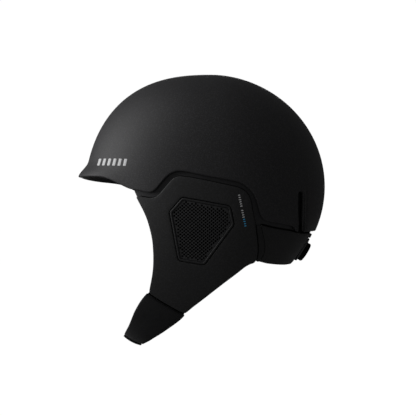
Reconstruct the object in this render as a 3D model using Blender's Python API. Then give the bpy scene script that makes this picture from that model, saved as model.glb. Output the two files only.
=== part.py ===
"""Water helmet with hinged ear flaps, a neoprene chin cup and a dial fit system.

Frame: metres, +Z up, the wearer looks along -Y, the wearer's left is +X.
The design is drawn in millimetres round the centre of the shell and moved so
that the centre of the crown pad's flat inner face is the origin.
"""
import math

import bmesh
import bpy
import numpy as np
from mathutils import Euler, Vector
from mathutils.geometry import delaunay_2d_cdt

MM = 0.001

# ------------------------------------------- master surface, in millimetres
TOP_Z = 137.8            # top of the shell above the design centre
TOP_Y = 0.67             # fore-aft place of the top
HALF_WIDTH = 99.0        # widest half width of the shell
WIDE_Z = 8.0             # height of the widest section
LOWER_DROP = 150.0       # the width would close this far below WIDE_Z
UPPER_POWER, LOWER_POWER = 2.35, 2.2    # squareness of the front view
FRONT_REACH = 129.0      # front of the shell from TOP_Y
FRONT_WIDE_Z = -9.7      # height of the longest front reach
FRONT_POWER = 2.49       # squareness of the front profile
REAR_REACH = 120.4       # rear of the shell from TOP_Y
REAR_WIDE_Z = 22.8       # height of the longest rear reach
SECTION_POWER = 2.2      # squareness of the plan sections
CENTRE_SHIFT = 7.3       # widest section lies this far behind TOP_Y
CROWN_FACE_Z = 113.7     # flat inner face of the crown pad, the part's origin

# Depths below the master surface.
SHELL_T = 2.5
TRIM_OUT, TRIM_IN = 3.0, 4.0
LINER_OUT, LINER_IN = 3.4, 17.0
PANEL_OUT, PANEL_IN = 1.5, 6.0
LIP_OUT, LIP_IN = 4.25, 4.9
FLAP_T = 2.4

LINER_LIFT = 3.5         # liner edge above its edge curve
LINER_SETBACK = 1.6      # extra depth of the liner's outer face near its edge
LIP_RISE = 2.6           # rear panel's lip above the shell edge
EDGE_BLUR = 1.2          # smoothing of the edge curves, degrees of plan angle

BRIM_OUT = 7.4           # how far the brow brim flares out
BRIM_TOP_Z = 49.0        # height where the flare starts
BRIM_EDGE_Z = 40         # the flare is full at this height or at a lower edge
BRIM_END, BRIM_FADE = 58, 34    # plan angle of the brim's end and its fade, degrees

# Edge curves of the left side as (y, z), front to rear.
SHELL_EDGE = [
    (-127, 32.5), (-113, 30.5), (-106, 30), (-98, 29), (-92.5, 27),
    (-88, 24.5), (-81.5, 21), (-77, 18.5), (-72.5, 16.5), (-65.5, 15.5),
    (-59.5, 14), (-52, 12.5), (-48.5, 14.5), (-44.5, 20), (-38.5, 27),
    (-33, 31.5), (-26.5, 33), (-19.5, 32), (-5.5, 29), (10, 26),
    (26.5, 23), (31.5, 21.5), (37.5, 17.5), (42, 13), (45, 7.5),
    (47, 0.5), (48, -5), (49.5, -10.5), (53, -13), (61.5, -14.5),
    (71, -16), (82.4, -18.4), (83.6, -23.2), (90, -24), (112, -23)]
LINER_EDGE = SHELL_EDGE[:-4] + [(80.5, -18), (84, -23), (90, -24), (112, -23)]

# Arched slot through each rear side of the shell.
SLOT_Y, SLOT_HALF = 87.6, 2.1
SLOT_BOTTOM_Z, SLOT_SIDE_Z, SLOT_ARCH_Z = -40, 12, 12.4
SLOT_X = (50, 92)

# Base colour, roughness and metallic of each material.
MATERIALS = {
    "shell": ((0.030, 0.030, 0.033), 0.62, 0.0),
    "trim": ((0.018, 0.018, 0.020), 0.70, 0.0),
    "flap": ((0.026, 0.026, 0.028), 0.66, 0.0),
    "frame": ((0.020, 0.020, 0.022), 0.55, 0.0),
    "mesh": ((0.024, 0.024, 0.026), 0.60, 0.0),
    "foam": ((0.020, 0.020, 0.022), 0.90, 0.0),
    "pad": ((0.016, 0.016, 0.018), 0.95, 0.0),
    "neoprene": ((0.012, 0.012, 0.014), 0.85, 0.0),
    "tape": ((0.015, 0.015, 0.015), 0.90, 0.0),
    "panel": ((0.022, 0.022, 0.024), 0.60, 0.0),
    "dial": ((0.010, 0.010, 0.011), 0.50, 0.0),
    "housing": ((0.060, 0.060, 0.064), 0.50, 0.0),
    "band": ((0.020, 0.020, 0.022), 0.55, 0.0),
    "steel": ((0.550, 0.550, 0.560), 0.35, 1.0),
}
SHARP_ANGLE = 40         # edges sharper than this stay sharp, degrees
SIDES = ((1, "left"), (-1, "right"))


# ------------------------------------------------------------ master surface
def half_width(z):
    z = np.asarray(z, float)
    up = np.clip((z - WIDE_Z) / (TOP_Z - WIDE_Z), 0, 1)
    down = np.clip((WIDE_Z - z) / LOWER_DROP, 0, 1)
    return HALF_WIDTH * np.where(z >= WIDE_Z,
                                 (1 - up ** UPPER_POWER) ** (1 / UPPER_POWER),
                                 (1 - down ** LOWER_POWER) ** (1 / LOWER_POWER))


def reaches(z):
    """Fore-aft place of the widest point, and the reach before and behind it."""
    z = np.asarray(z, float)
    shift = CENTRE_SHIFT * half_width(z) / HALF_WIDTH
    up = np.clip((z - FRONT_WIDE_Z) / (TOP_Z - FRONT_WIDE_Z), 0, 1)
    front = FRONT_REACH * (1 - up ** FRONT_POWER) ** (1 / FRONT_POWER)
    off = np.clip(np.abs(z - REAR_WIDE_Z) / (TOP_Z - REAR_WIDE_Z), 0, 1)
    rear = REAR_REACH * np.sqrt(1 - off ** 2)
    return TOP_Y + shift, front + shift, np.maximum(rear - shift, 1e-6)


def ring_point(angle, z):
    """Point of the master surface at a plan angle (0 front, pi/2 left, pi rear)."""
    cos, sin = np.cos(angle), np.sin(angle)
    centre, front, rear = reaches(z)
    power = 2 / SECTION_POWER
    x = half_width(z) * np.sign(sin) * np.abs(sin) ** power
    y = centre - np.where(cos > 0, front, rear) * np.sign(cos) * np.abs(cos) ** power
    return np.stack([x, y, np.broadcast_to(z, x.shape).astype(float)], -1)


def plan_angle(y, z):
    centre, front, rear = reaches(z)
    ratio = np.clip((centre - y) / np.where(y < centre, front, rear), -1, 1)
    return np.arccos(np.sign(ratio) * np.abs(ratio) ** (SECTION_POWER / 2))


def side_x(y, z):
    centre, front, rear = reaches(z)
    ratio = np.clip(np.abs(y - centre) / np.where(y < centre, front, rear), 0, 1)
    return half_width(z) * (1 - ratio ** SECTION_POWER) ** (1 / SECTION_POWER)


def level(x, y, z):
    """Implicit form of the surface: 1 on it, more outside it."""
    centre, front, rear = reaches(z)
    return ((np.abs(x) / np.maximum(half_width(z), 1e-6)) ** SECTION_POWER
            + (np.abs(y - centre) / np.where(y < centre, front, rear)) ** SECTION_POWER)


def normals(points):
    x, y, z = points[..., 0], points[..., 1], points[..., 2]
    step = np.minimum(0.05, (TOP_Z - z) / 4 + 1e-7)
    power = SECTION_POWER
    centre, front, rear = reaches(z)
    reach = np.where(y < centre, front, rear)
    width = np.maximum(half_width(z), 1e-6)
    grad_x = power * np.sign(x) * np.abs(x) ** (power - 1) / width ** power
    grad_y = (power * np.sign(y - centre) * np.abs(y - centre) ** (power - 1)
              / reach ** power)
    grad_z = (level(x, y, z + step) - level(x, y, z - step)) / (2 * step)
    normal = np.stack([grad_x, grad_y, grad_z], -1)
    normal[z > TOP_Z - 1e-3] = (0, 0, 1)
    return normal / np.linalg.norm(normal, axis=-1, keepdims=True)


def from_front(angle):
    """Plan angle folded onto the left half, 0 to pi."""
    return np.abs((np.asarray(angle) + math.pi) % (2 * math.pi) - math.pi)


def edge_height(table, angle):
    """Smoothed height of an edge curve, a (y, z) table, at plan angles."""
    ys, zs = np.array(table, float).T
    step, reach = 0.25, 24      # sample spacing in degrees, kernel half length
    dense = np.radians(np.arange(-20, 201, step))
    mirrored = np.abs(np.where(dense > math.pi, 2 * math.pi - dense, dense))
    heights = np.interp(mirrored, plan_angle(ys, zs), zs)
    kernel = np.exp(-0.5 * (np.arange(-reach, reach + 1) * step / EDGE_BLUR) ** 2)
    heights = np.convolve(np.pad(heights, reach, mode="edge"),
                          kernel / kernel.sum(), mode="valid")
    return np.interp(from_front(angle), dense, heights)


def brim(angle, z, edge):
    """Outward flare of the brow brim."""
    fade = np.clip((math.radians(BRIM_END) - from_front(angle))
                   / math.radians(BRIM_FADE), 0, 1)
    fade = fade * fade * (3 - 2 * fade)
    full = BRIM_TOP_Z - np.minimum(edge, BRIM_EDGE_Z)
    down = np.clip((BRIM_TOP_Z - z) / full, 0, 1) ** 1.15
    return BRIM_OUT * fade * down * down * (3 - 2 * down)


# ------------------------------------------------------------- plane outlines
def smooth_loop(points, radius, spacing=None):
    """Closed polygon with rounded corners and, if asked, evenly spaced points."""
    corners = [Vector(p) for p in points]
    rounded = []
    for i, corner in enumerate(corners):
        back = corners[i - 1] - corner
        ahead = corners[(i + 1) % len(corners)] - corner
        len_back, len_ahead = back.length, ahead.length
        cos_angle = max(-1, min(1, back.dot(ahead) / (len_back * len_ahead)))
        half = math.acos(cos_angle) / 2
        if half > math.radians(86):
            rounded.append(corner)
            continue
        trim = min(radius / math.tan(half), len_back * 0.45, len_ahead * 0.45)
        fitted = trim * math.tan(half)
        start = corner + back / len_back * trim
        end = corner + ahead / len_ahead * trim
        middle = (back / len_back + ahead / len_ahead).normalized()
        centre = corner + middle * (fitted / math.sin(half))
        arm0, arm1 = start - centre, end - centre
        sweep = math.atan2(arm0.x * arm1.y - arm0.y * arm1.x, arm0.dot(arm1))
        steps = max(2, int(abs(sweep) / 0.35) + 1)
        for k in range(steps + 1):
            turn = sweep * k / steps
            cos, sin = math.cos(turn), math.sin(turn)
            rounded.append(centre + Vector((arm0.x * cos - arm0.y * sin,
                                            arm0.x * sin + arm0.y * cos)))
    loop = np.array([(p.x, p.y) for p in rounded])
    if spacing:
        closed = np.vstack([loop, loop[:1]])
        lengths = np.linalg.norm(np.diff(closed, axis=0), axis=1)
        along = np.concatenate([[0], np.cumsum(lengths)])
        count = max(12, int(round(along[-1] / spacing)))
        want = np.arange(count) * along[-1] / count
        loop = np.stack([np.interp(want, along, closed[:, k]) for k in (0, 1)], -1)
    return loop


def rounded_box(half, low, high, radius, spacing=None):
    return smooth_loop([(-half, low), (half, low), (half, high), (-half, high)],
                       radius, spacing)


def polar_loop(radii):
    """Closed loop of points at equal angles, with the given radii."""
    count = len(radii)
    return np.array([(r * math.cos(2 * math.pi * k / count),
                      r * math.sin(2 * math.pi * k / count))
                     for k, r in enumerate(radii)])


def circle(radius, count=24, centre=(0.0, 0.0)):
    return polar_loop([radius] * count) + centre


def ridged(tip, root, count):
    """Round outline that alternates between root and tip radius."""
    return polar_loop([tip if k % 2 else root for k in range(count)])


def ccw(loop):
    x, y = loop[:, 0], loop[:, 1]
    area = np.sum(x * np.roll(y, -1) - y * np.roll(x, -1))
    return loop if area > 0 else loop[::-1]


def inset(loop, distance):
    """Move a counter-clockwise loop inwards."""
    along = np.roll(loop, -1, 0) - np.roll(loop, 1, 0)
    along /= np.linalg.norm(along, axis=1, keepdims=True)
    return loop + np.stack([-along[:, 1], along[:, 0]], -1) * distance


def within(loop, points):
    """Mask of the points that lie inside a loop."""
    x, y = points[:, 0], points[:, 1]
    hit = np.zeros(len(points), bool)
    for (x0, y0), (x1, y1) in zip(loop, np.roll(loop, -1, 0)):
        cross = (y0 > y) != (y1 > y)
        if y1 != y0:
            hit ^= cross & (x < (x1 - x0) * (y - y0) / (y1 - y0) + x0)
    return hit


def grid_points(outer, holes, rim, step):
    """Staggered grid inside a region, clear of its rim points."""
    low, high = outer.min(0), outer.max(0)
    grid = []
    for j, y in enumerate(np.arange(low[1], high[1], step * 0.87)):
        for x in np.arange(low[0] + (j % 2) * step / 2, high[0], step):
            grid.append((x, y))
    grid = np.array(grid)
    near = np.min(np.linalg.norm(grid[:, None] - rim[None], axis=2), axis=1)
    keep = within(outer, grid) & (near > step * 0.55)
    for hole in holes:
        keep &= ~within(hole, grid)
    return grid[keep]


def triangle_edges(triangle):
    a, b, c = triangle
    return frozenset((a, b)), frozenset((b, c)), frozenset((c, a))


def patches(triangles, walls):
    """Groups of triangles joined across edges that are not walls."""
    beside = {}
    for index, triangle in enumerate(triangles):
        for edge in triangle_edges(triangle):
            beside.setdefault(edge, []).append(index)
    seen = [False] * len(triangles)
    for first in range(len(triangles)):
        if seen[first]:
            continue
        members, todo = [], [first]
        seen[first] = True
        while todo:
            index = todo.pop()
            members.append(index)
            for edge in triangle_edges(triangles[index]):
                if edge in walls:
                    continue
                for other in beside[edge]:
                    if not seen[other]:
                        seen[other] = True
                        todo.append(other)
        yield members


def fill(outer, holes, step):
    """Triangulate a region; keeps the loops' own points first and in order."""
    edges, points = [], []
    for loop in [outer] + list(holes):
        base, size = len(points), len(loop)
        edges += [(base + i, base + (i + 1) % size) for i in range(size)]
        points += [tuple(p) for p in loop]
    points += [tuple(p) for p in grid_points(outer, holes, np.array(points), step)]
    _, _, faces, origin, _, _ = delaunay_2d_cdt(
        [Vector(p) for p in points], edges, [], 0, 1e-7)
    triangles = [tuple(origin[i][0] for i in face) for face in faces]
    points = np.array(points)
    # A patch is kept or dropped whole, by the middle of its largest triangle.
    keep = []
    for members in patches(triangles, {frozenset(edge) for edge in edges}):
        corners = points[np.array([triangles[k] for k in members])]
        side0 = corners[:, 1] - corners[:, 0]
        side1 = corners[:, 2] - corners[:, 0]
        area = np.abs(side0[:, 0] * side1[:, 1] - side0[:, 1] * side1[:, 0])
        middle = corners[int(np.argmax(area))].mean(0)[None]
        if (area.max() > 0.02 and within(outer, middle)[0]
                and not any(within(hole, middle)[0] for hole in holes)):
            keep += members
    return points, [triangles[k] for k in sorted(keep)]


# --------------------------------------- bodies, each a (points, faces) pair
def ring_quads(first, second, size):
    """Quads between two closed rings, given the index each one starts at."""
    return [(first + i, first + (i + 1) % size,
             second + (i + 1) % size, second + i) for i in range(size)]


def fan_and_rings(rings, size):
    """Fan from point 0 to the first ring, then quads from ring to ring."""
    faces = []
    for k in range(size):
        j = (k + 1) % size
        faces.append((0, 1 + k, 1 + j))
        for row in range(rings - 1):
            base = 1 + row * size
            faces.append((base + k, base + size + k, base + size + j, base + j))
    return faces


def extrusion(near, far):
    """Prism between two matching lists of points."""
    size = len(near)
    faces = [tuple(range(size)), tuple(range(2 * size - 1, size - 1, -1))]
    return near + far, faces + ring_quads(0, size, size)


def plate(put, outer, holes, layers, step):
    """Solid from stacked loops; layers is a list of (inset, depth)."""
    outer = ccw(np.array(outer, float))
    holes = [ccw(np.array(hole, float)) for hole in holes]
    verts, faces = [], []
    previous, last = 0, len(layers) - 1
    for i, (shift, depth) in enumerate(layers):
        loops = [inset(outer, shift)] + [inset(hole, -shift) for hole in holes]
        if i in (0, last):
            points, triangles = fill(loops[0], loops[1:], step)
        else:
            points = np.vstack(loops)
        new = len(verts)
        verts += list(put(points, np.full(len(points), depth)))
        if i == 0:
            faces += triangles
        else:
            base = 0
            for loop in loops:
                faces += ring_quads(previous + base, new + base, len(loop))
                base += len(loop)
        if i == last:
            faces += [(new + c, new + b, new + a) for a, b, c in triangles]
        previous = new
    return verts, faces


def side_map(side):
    """Maps (y, z) and a depth below the surface to the left or right side."""
    def put(outline, depth):
        y, z = np.asarray(outline, float).T
        points = np.stack([side_x(y, z), y, z], -1)
        points = points - normals(points) * np.reshape(depth, (-1, 1))
        points[:, 0] *= side
        return points
    return put


def sheet(outer, inner, wrap=False, pole=False):
    """Solid between two grids of points (rows, columns, 3).

    wrap joins the last column to the first, pole makes row 0 a single point.
    """
    rows, cols = outer.shape[:2]
    verts, faces, index = [], [], []
    for grid in (outer, inner):
        ids = np.zeros((rows, cols), int)
        for r in range(rows):
            for c in range(cols):
                if pole and r == 0 and c:
                    ids[r, c] = ids[0, 0]
                    continue
                ids[r, c] = len(verts)
                verts.append(grid[r, c])
        index.append(ids)

    def quad(*ids):
        distinct = [v for i, v in enumerate(ids) if v != ids[i - 1]]
        if len(distinct) > 2:
            faces.append(tuple(distinct))

    out, inn = index
    span = cols if wrap else cols - 1
    for r in range(rows - 1):
        for c in range(span):
            d = (c + 1) % cols
            quad(out[r, c], out[r + 1, c], out[r + 1, d], out[r, d])
            quad(inn[r, c], inn[r, d], inn[r + 1, d], inn[r + 1, c])
    for c in range(span):
        d = (c + 1) % cols
        quad(out[-1, c], inn[-1, c], inn[-1, d], out[-1, d])
        if not pole:
            quad(out[0, c], out[0, d], inn[0, d], inn[0, c])
    if not wrap:
        for r in range(rows - 1):
            quad(out[r, 0], inn[r, 0], inn[r + 1, 0], out[r + 1, 0])
            quad(out[r, -1], out[r + 1, -1], inn[r + 1, -1], inn[r, -1])
    return verts, faces


def cushion_swell(across, down):
    """Fullness of a cushion: 1 in the middle, 0 at its rim; both run -1 to 1."""
    return ((1 - across ** 4) * (1 - down ** 4)) ** 0.5


# ------------------------------------------------------------- scene objects
def material(name):
    colour, roughness, metallic = MATERIALS[name]
    mat = bpy.data.materials.get(name) or bpy.data.materials.new(name)
    mat.use_nodes = True
    bsdf = mat.node_tree.nodes["Principled BSDF"]
    bsdf.inputs["Base Color"].default_value = (*colour, 1)
    bsdf.inputs["Roughness"].default_value = roughness
    bsdf.inputs["Metallic"].default_value = metallic
    mat.diffuse_color = (*colour, 1)
    return mat


def to_world(point):
    return Vector((point[0] * MM, point[1] * MM, (point[2] - CROWN_FACE_Z) * MM))


def solid(name, body, mat, parent=None):
    """Object from a body in millimetres of the design frame."""
    verts, faces = body
    points = [to_world(v) for v in verts]
    if parent:
        inverse = parent.matrix_world.inverted()
        points = [inverse @ p for p in points]
    bm = bmesh.new()
    corners = [bm.verts.new(p) for p in points]
    for face in faces:
        # Guards against a face that is listed twice.
        try:
            bm.faces.new([corners[i] for i in face])
        except ValueError:
            pass
    bmesh.ops.remove_doubles(bm, verts=bm.verts, dist=1e-7)
    bmesh.ops.recalc_face_normals(bm, faces=bm.faces)
    mesh = bpy.data.meshes.new(name)
    bm.to_mesh(mesh)
    bm.free()
    obj = bpy.data.objects.new(name, mesh)
    bpy.context.scene.collection.objects.link(obj)
    if parent:
        obj.parent = parent
    mesh.materials.append(material(mat))
    mesh.shade_smooth()
    mesh.set_sharp_from_angle(angle=math.radians(SHARP_ANGLE))
    return obj


def pivot(name, place, euler=(0, 0, 0), parent=None):
    """Empty on a joint axis; place is in design millimetres."""
    empty = bpy.data.objects.new(name, None)
    empty.empty_display_size = 0.02
    bpy.context.scene.collection.objects.link(empty)
    location = to_world(place)
    if parent:
        empty.parent = parent
        location = parent.matrix_world.inverted() @ location
    empty.location = location
    empty.rotation_euler = Euler(euler)
    bpy.context.view_layer.update()
    return empty


def cut(obj, name, body):
    """Cut a body out of an object; the hidden cutter stays in the scene."""
    cutter = solid(name, body, "steel")
    mod = obj.modifiers.new("cut_" + name, "BOOLEAN")
    mod.operation = "DIFFERENCE"
    mod.solver = "EXACT"
    mod.object = cutter
    cutter.hide_render = True
    cutter.display_type = "WIRE"


# ----------------------------------------------------------- shell and liner
def columns_along(table, count, lift=0.0):
    """Plan angles of the full ring, evenly spaced along the edge curve."""
    angles = np.radians(np.linspace(0, 180, 1441))
    points = ring_point(angles, edge_height(table, angles) + lift)
    lengths = np.linalg.norm(np.diff(points, axis=0), axis=1)
    along = np.concatenate([[0], np.cumsum(lengths)])
    half = np.interp(np.linspace(0, along[-1], count // 2 + 1), along, angles)
    return np.concatenate([half, (2 * math.pi - half[1:-1])[::-1]])


def grid_normals(grid):
    normal = np.cross(np.gradient(grid, axis=1), np.gradient(grid, axis=0))
    return normal / np.maximum(np.linalg.norm(normal, axis=-1, keepdims=True), 1e-9)


def dome_grid(table, cols, rows, depth, lift=0.0, flare=False):
    """Grid from the top to an edge curve; depth is one number or one per row."""
    edge = edge_height(table, cols) + lift
    down = np.linspace(0, 1, rows)[:, None]
    z = edge[None] + (TOP_Z - edge[None]) * np.cos(down * math.pi / 2)
    angle = np.broadcast_to(cols[None], z.shape)
    points = ring_point(angle, z)
    normal = normals(points)
    if flare:
        out = brim(angle, z, edge[None])
        flat = normal * (1, 1, 0)
        flat /= np.maximum(np.linalg.norm(flat, axis=-1, keepdims=True), 1e-9)
        points = points + flat * out[..., None]
        # The flared part takes its normals from the grid itself.
        around = np.concatenate([points[:, -1:], points, points[:, :1]], 1)
        flared = grid_normals(around)[:, 1:-1]
        flared *= np.sign(np.sum(flared * normal, -1, keepdims=True))
        blend = np.clip(out, 0, 1)[..., None]
        normal = normal * (1 - blend) + flared * blend
        normal /= np.linalg.norm(normal, axis=-1, keepdims=True)
    return points - normal * (depth * np.ones(z.shape))[..., None]


def build_shell():
    cols = columns_along(SHELL_EDGE, 60)
    outer = dome_grid(SHELL_EDGE, cols, 13, 0.0, flare=True)
    inner = dome_grid(SHELL_EDGE, cols, 13, SHELL_T, flare=True)
    shell = solid("outer_shell", sheet(outer, inner, wrap=True, pole=True), "shell")

    front, rear = SLOT_Y - SLOT_HALF, SLOT_Y + SLOT_HALF
    arch = [(SLOT_Y + SLOT_HALF * math.cos(k * math.pi / 6),
             SLOT_ARCH_Z + SLOT_HALF * math.sin(k * math.pi / 6)) for k in range(1, 6)]
    slot = [(front, SLOT_BOTTOM_Z), (rear, SLOT_BOTTOM_Z), (rear, SLOT_SIDE_Z)]
    slot += arch + [(front, SLOT_SIDE_Z)]
    for side, tag in SIDES:
        near, far = [[(side * x, y, z) for y, z in slot] for x in SLOT_X]
        cut(shell, "rear_slot_cutter_" + tag, extrusion(near, far))


def build_liner():
    rows = 11
    cols = columns_along(LINER_EDGE, 44, LINER_LIFT)
    near_edge = np.clip((np.linspace(0, 1, rows)[:, None] - 0.80) / 0.08, 0, 1)
    outer = dome_grid(LINER_EDGE, cols, rows,
                      LINER_OUT + LINER_SETBACK * near_edge, LINER_LIFT)
    inner = dome_grid(LINER_EDGE, cols, rows, LINER_IN, LINER_LIFT)
    solid("eva_liner", sheet(outer, inner, wrap=True, pole=True), "foam")


# ------------------------------------------------------- edge trim, ear flaps
# Outlines of the left side as (y, z). The trim's upper edge follows the shell
# edge between the two end points, then runs down along the rear panel and
# back under the flap.
TRIM_SHIFT = (2.0, 4.5)
TRIM_SPAN = (-73, 82)
TRIM_FRONT_END, TRIM_REAR_END = (-71.2, 19.5), (80.6, -14)
TRIM_PANEL = [
    (80.8, -22), (71, -20.4), (61.5, -18.6), (54, -16.4), (49.2, -15.3),
    (48.4, -18.5), (49.6, -25.5), (51.5, -31.5), (52.3, -37.5), (52.0, -43),
    (50.4, -47.6), (47.8, -49.8)]
TRIM_INNER = [
    (43, -47.5), (43.8, -37.5), (43, -25), (41.5, -15.5), (40, -10.5),
    (38.9, -3), (37.8, 3.5), (36, 8), (32.5, 11.8), (27.5, 15.3), (14, 20.2),
    (0, 23.2), (-16, 25.9), (-25.5, 26.0), (-30, 24.5), (-33, 21.5),
    (-37, 16.5), (-42.5, 10), (-47, 6.2), (-51.5, 5.2), (-57, 6.4),
    (-66.3, 8.2), (-69, 13)]

FLAP_TOP = [
    (-67.5, 10.5), (-62.5, 9.8), (-56.5, 8.6), (-51.5, 8), (-47.5, 9.3),
    (-43.5, 12.8), (-38.5, 18.6), (-34.5, 23.2), (-31.5, 26.4), (-26.5, 28.2),
    (-16, 26.9), (-0.5, 23.9), (14, 20.8), (28.5, 17.7), (35, 14.3),
    (38.5, 10), (40.3, 4.7), (41.4, -2.3), (42.8, -9.2), (44, -14)]
FLAP_REAR = [(45, -22.5), (46.1, -31.5), (46.9, -37.5), (46.7, -43.5), (45.8, -49.6)]
FLAP_LOW = [
    (43.8, -52.4), (39.5, -53.6), (35.5, -55.8), (26, -63.2), (16, -70.7),
    (6.5, -78.2), (-3, -86), (-13, -94), (-20.5, -100.6)]
FLAP_SEAM = [(-22.7, -101.2), (-29, -97.5), (-37.5, -92.5), (-46, -87.3), (-54, -82.2)]
FLAP_FRONT = [
    (-55.5, -79), (-54.2, -75), (-52.5, -67.3), (-51.2, -59.7), (-50.6, -52.2),
    (-50.5, -44.7), (-51, -33.6), (-52.2, -26.3), (-54, -19), (-56.3, -11.5),
    (-59.5, -4.2), (-63.5, 3.2)]
VENT = [(-23.2, 8.9), (21.3, 0.7), (25, -16.6), (-2.7, -54.2), (-27.1, -50.1),
        (-35.3, -4.7)]
VENT_RADIUS = 4.0
FRAME_OUTER, FRAME_INNER, MESH_RIM = 0.55, 3.15, 3.35    # inside the vent opening
EAR_PAD = [(-46, 1), (-36, 11.5), (0, 10.5), (20, 7), (33, -1), (38, -18),
           (40, -38), (35, -47), (20, -57), (6, -65), (-20, -67), (-38, -65),
           (-43.5, -56), (-43.5, -30), (-47, -13)]
EAR_CENTRE, EAR_RADII = (-6, -24), (17, 21)    # pocket in the ear pad, (y, z)
LOOP_PATCH = [(-46.5, -84.5), (-30, -94.8), (-24.5, -88), (-41, -76.5)]

# Layers as (inset, depth below the surface).
TRIM_LAYERS = [(0, TRIM_OUT), (0, TRIM_IN)]
FLAP_LAYERS = [(0.9, 0.0), (0, 0.7), (0, FLAP_T)]
FRAME_LAYERS = [(0.4, -0.2), (0, 0.2), (0, FLAP_T)]
MESH_LAYERS = [(0, 0.7), (0, 1.9)]
EAR_PAD_LAYERS = [(0, 3.0), (0, 9.0), (2.4, 11.4)]
EAR_POCKET_LAYERS = [(0, 3.65), (0, 14.0)]
LOOP_PATCH_LAYERS = [(0, 2.7), (0, 3.3)]

# Hinge sections as (x, z) from the hinge line; each starts with a round part
# that is given by its radius and its angles in degrees.
FLAP_AXIS = (91.6, 0.0, 26.0)     # a point on the left flap's hinge line
FLAP_AXIS_DIP = 0.13              # fall of the hinge line per mm rearwards
BEAD_RADIUS, BEAD_ANGLES = 1.2, np.arange(-60, 241, 30)
STRIP = [(-0.5, -3.2), (2.4, -7.6), (2.7, -9.4), (2.8, -12.0), (4.0, -12.0),
         (3.8, -8.6), (3.2, -7.0), (0.7, -3.2)]
STRIP_HALF = 10.0                 # half length along the hinge line
RAIL_RADIUS, RAIL_ANGLES = 1.55, np.arange(75, 226, 25)
RAIL = [(-3.2, -2.2), (-3.4, 3.3), (1.0, 3.3), (0.9, 2.6)]
RAIL_HALF = 9.0


def build_edge_trim(side, tag):
    low, high = TRIM_SPAN
    edge = [(y, z) for y, z in SHELL_EDGE if low < y < high]
    upper = [(y + TRIM_SHIFT[0], z + TRIM_SHIFT[1]) for y, z in edge[1:-1]]
    outline = [TRIM_FRONT_END] + upper + [TRIM_REAR_END] + TRIM_PANEL + TRIM_INNER
    body = plate(side_map(side), smooth_loop(outline, 1.5, 5.0), [], TRIM_LAYERS, 9)
    solid("edge_trim_" + tag, body, "trim")


def build_ear_flap(side, tag, axis):
    """Flap with a framed mesh vent."""
    put = side_map(side)
    outline = smooth_loop(FLAP_TOP + FLAP_REAR + FLAP_LOW + FLAP_SEAM + FLAP_FRONT,
                          3.0, 5.2)
    vent = ccw(smooth_loop(VENT, VENT_RADIUS, 6.0))
    solid("ear_flap_" + tag, plate(put, outline, [vent], FLAP_LAYERS, 13), "flap", axis)
    frame = plate(put, inset(vent, FRAME_OUTER), [inset(vent, FRAME_INNER)],
                  FRAME_LAYERS, 60)
    solid("ear_vent_frame_" + tag, frame, "frame", axis)
    mesh = plate(put, inset(vent, MESH_RIM), [], MESH_LAYERS, 11)
    solid("ear_vent_mesh_" + tag, mesh, "mesh", axis)


def build_ear_pad(side, tag, axis):
    put = side_map(side)
    body = plate(put, smooth_loop(EAR_PAD, 7, 8), [], EAR_PAD_LAYERS, 15)
    pad = solid("ear_pad_" + tag, body, "pad", axis)
    # The ear opening stops at a thin web behind the vent.
    ear = [(EAR_CENTRE[0] + EAR_RADII[0] * math.cos(k * math.pi / 9),
            EAR_CENTRE[1] + EAR_RADII[1] * math.sin(k * math.pi / 9))
           for k in range(18)]
    cut(pad, "ear_pocket_cutter_" + tag, plate(put, ear, [], EAR_POCKET_LAYERS, 15))


def hinge_prism(side, radius, angles, rest, half):
    """Section run along the hinge line for half a length each way."""
    section = [(radius * math.cos(a), radius * math.sin(a)) for a in np.radians(angles)]
    section += rest
    near, far = [[(side * (FLAP_AXIS[0] + x), y, FLAP_AXIS[2] + z - FLAP_AXIS_DIP * y)
                  for x, z in section] for y in (-half, half)]
    return extrusion(near, far)


def build_hinge(side, tag, axis):
    """Beaded strip under the flap's top edge, and the channel that holds it."""
    strip = hinge_prism(side, BEAD_RADIUS, BEAD_ANGLES, STRIP, STRIP_HALF)
    solid("flap_hinge_" + tag, strip, "tape", axis)
    rail = hinge_prism(side, RAIL_RADIUS, RAIL_ANGLES, RAIL, RAIL_HALF)
    solid("hinge_rail_" + tag, rail, "band")


def build_side(side, tag):
    """Trim and ear flap of one side; returns the empty the flap turns on."""
    build_edge_trim(side, tag)
    # The empty's own Y runs along the hinge line.
    axis = pivot("flap_axis_" + tag, (side * FLAP_AXIS[0], FLAP_AXIS[1], FLAP_AXIS[2]),
                 (-math.atan(FLAP_AXIS_DIP), 0, 0))
    build_ear_flap(side, tag, axis)
    build_ear_pad(side, tag, axis)
    build_hinge(side, tag, axis)
    return axis


def build_loop_patch(left_axis):
    """Patch inside the left flap's lower front edge."""
    body = plate(side_map(1), smooth_loop(LOOP_PATCH, 2, 5), [], LOOP_PATCH_LAYERS, 8)
    solid("loop_patch", body, "tape", left_axis)


# ---------------------------------------------------------------------- pads
# Name, plan angles in degrees, heights, thickness, columns and rows.
LINER_PADS = [
    ("brow_pad", (-52, 52), (38, 64), 5.5, 15, 5),
    ("side_pad_left", (66, 112), (46, 82), 5.0, 9, 6),
    ("side_pad_right", (-112, -66), (46, 82), 5.0, 9, 6),
    ("rear_pad", (146, 214), (6, 40), 5.5, 11, 6),
]
PAD_DEPTH = LINER_IN + 1.4      # back of the liner pads below the surface
PAD_RIM_T = 1.2

CROWN_HALF = (24, 29)           # half width and half length
CROWN_DIVISOR = (120, 150)      # fall of the dome: square of the distance over these
CROWN_TOP_Z = TOP_Z - LINER_IN - 0.6


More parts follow.
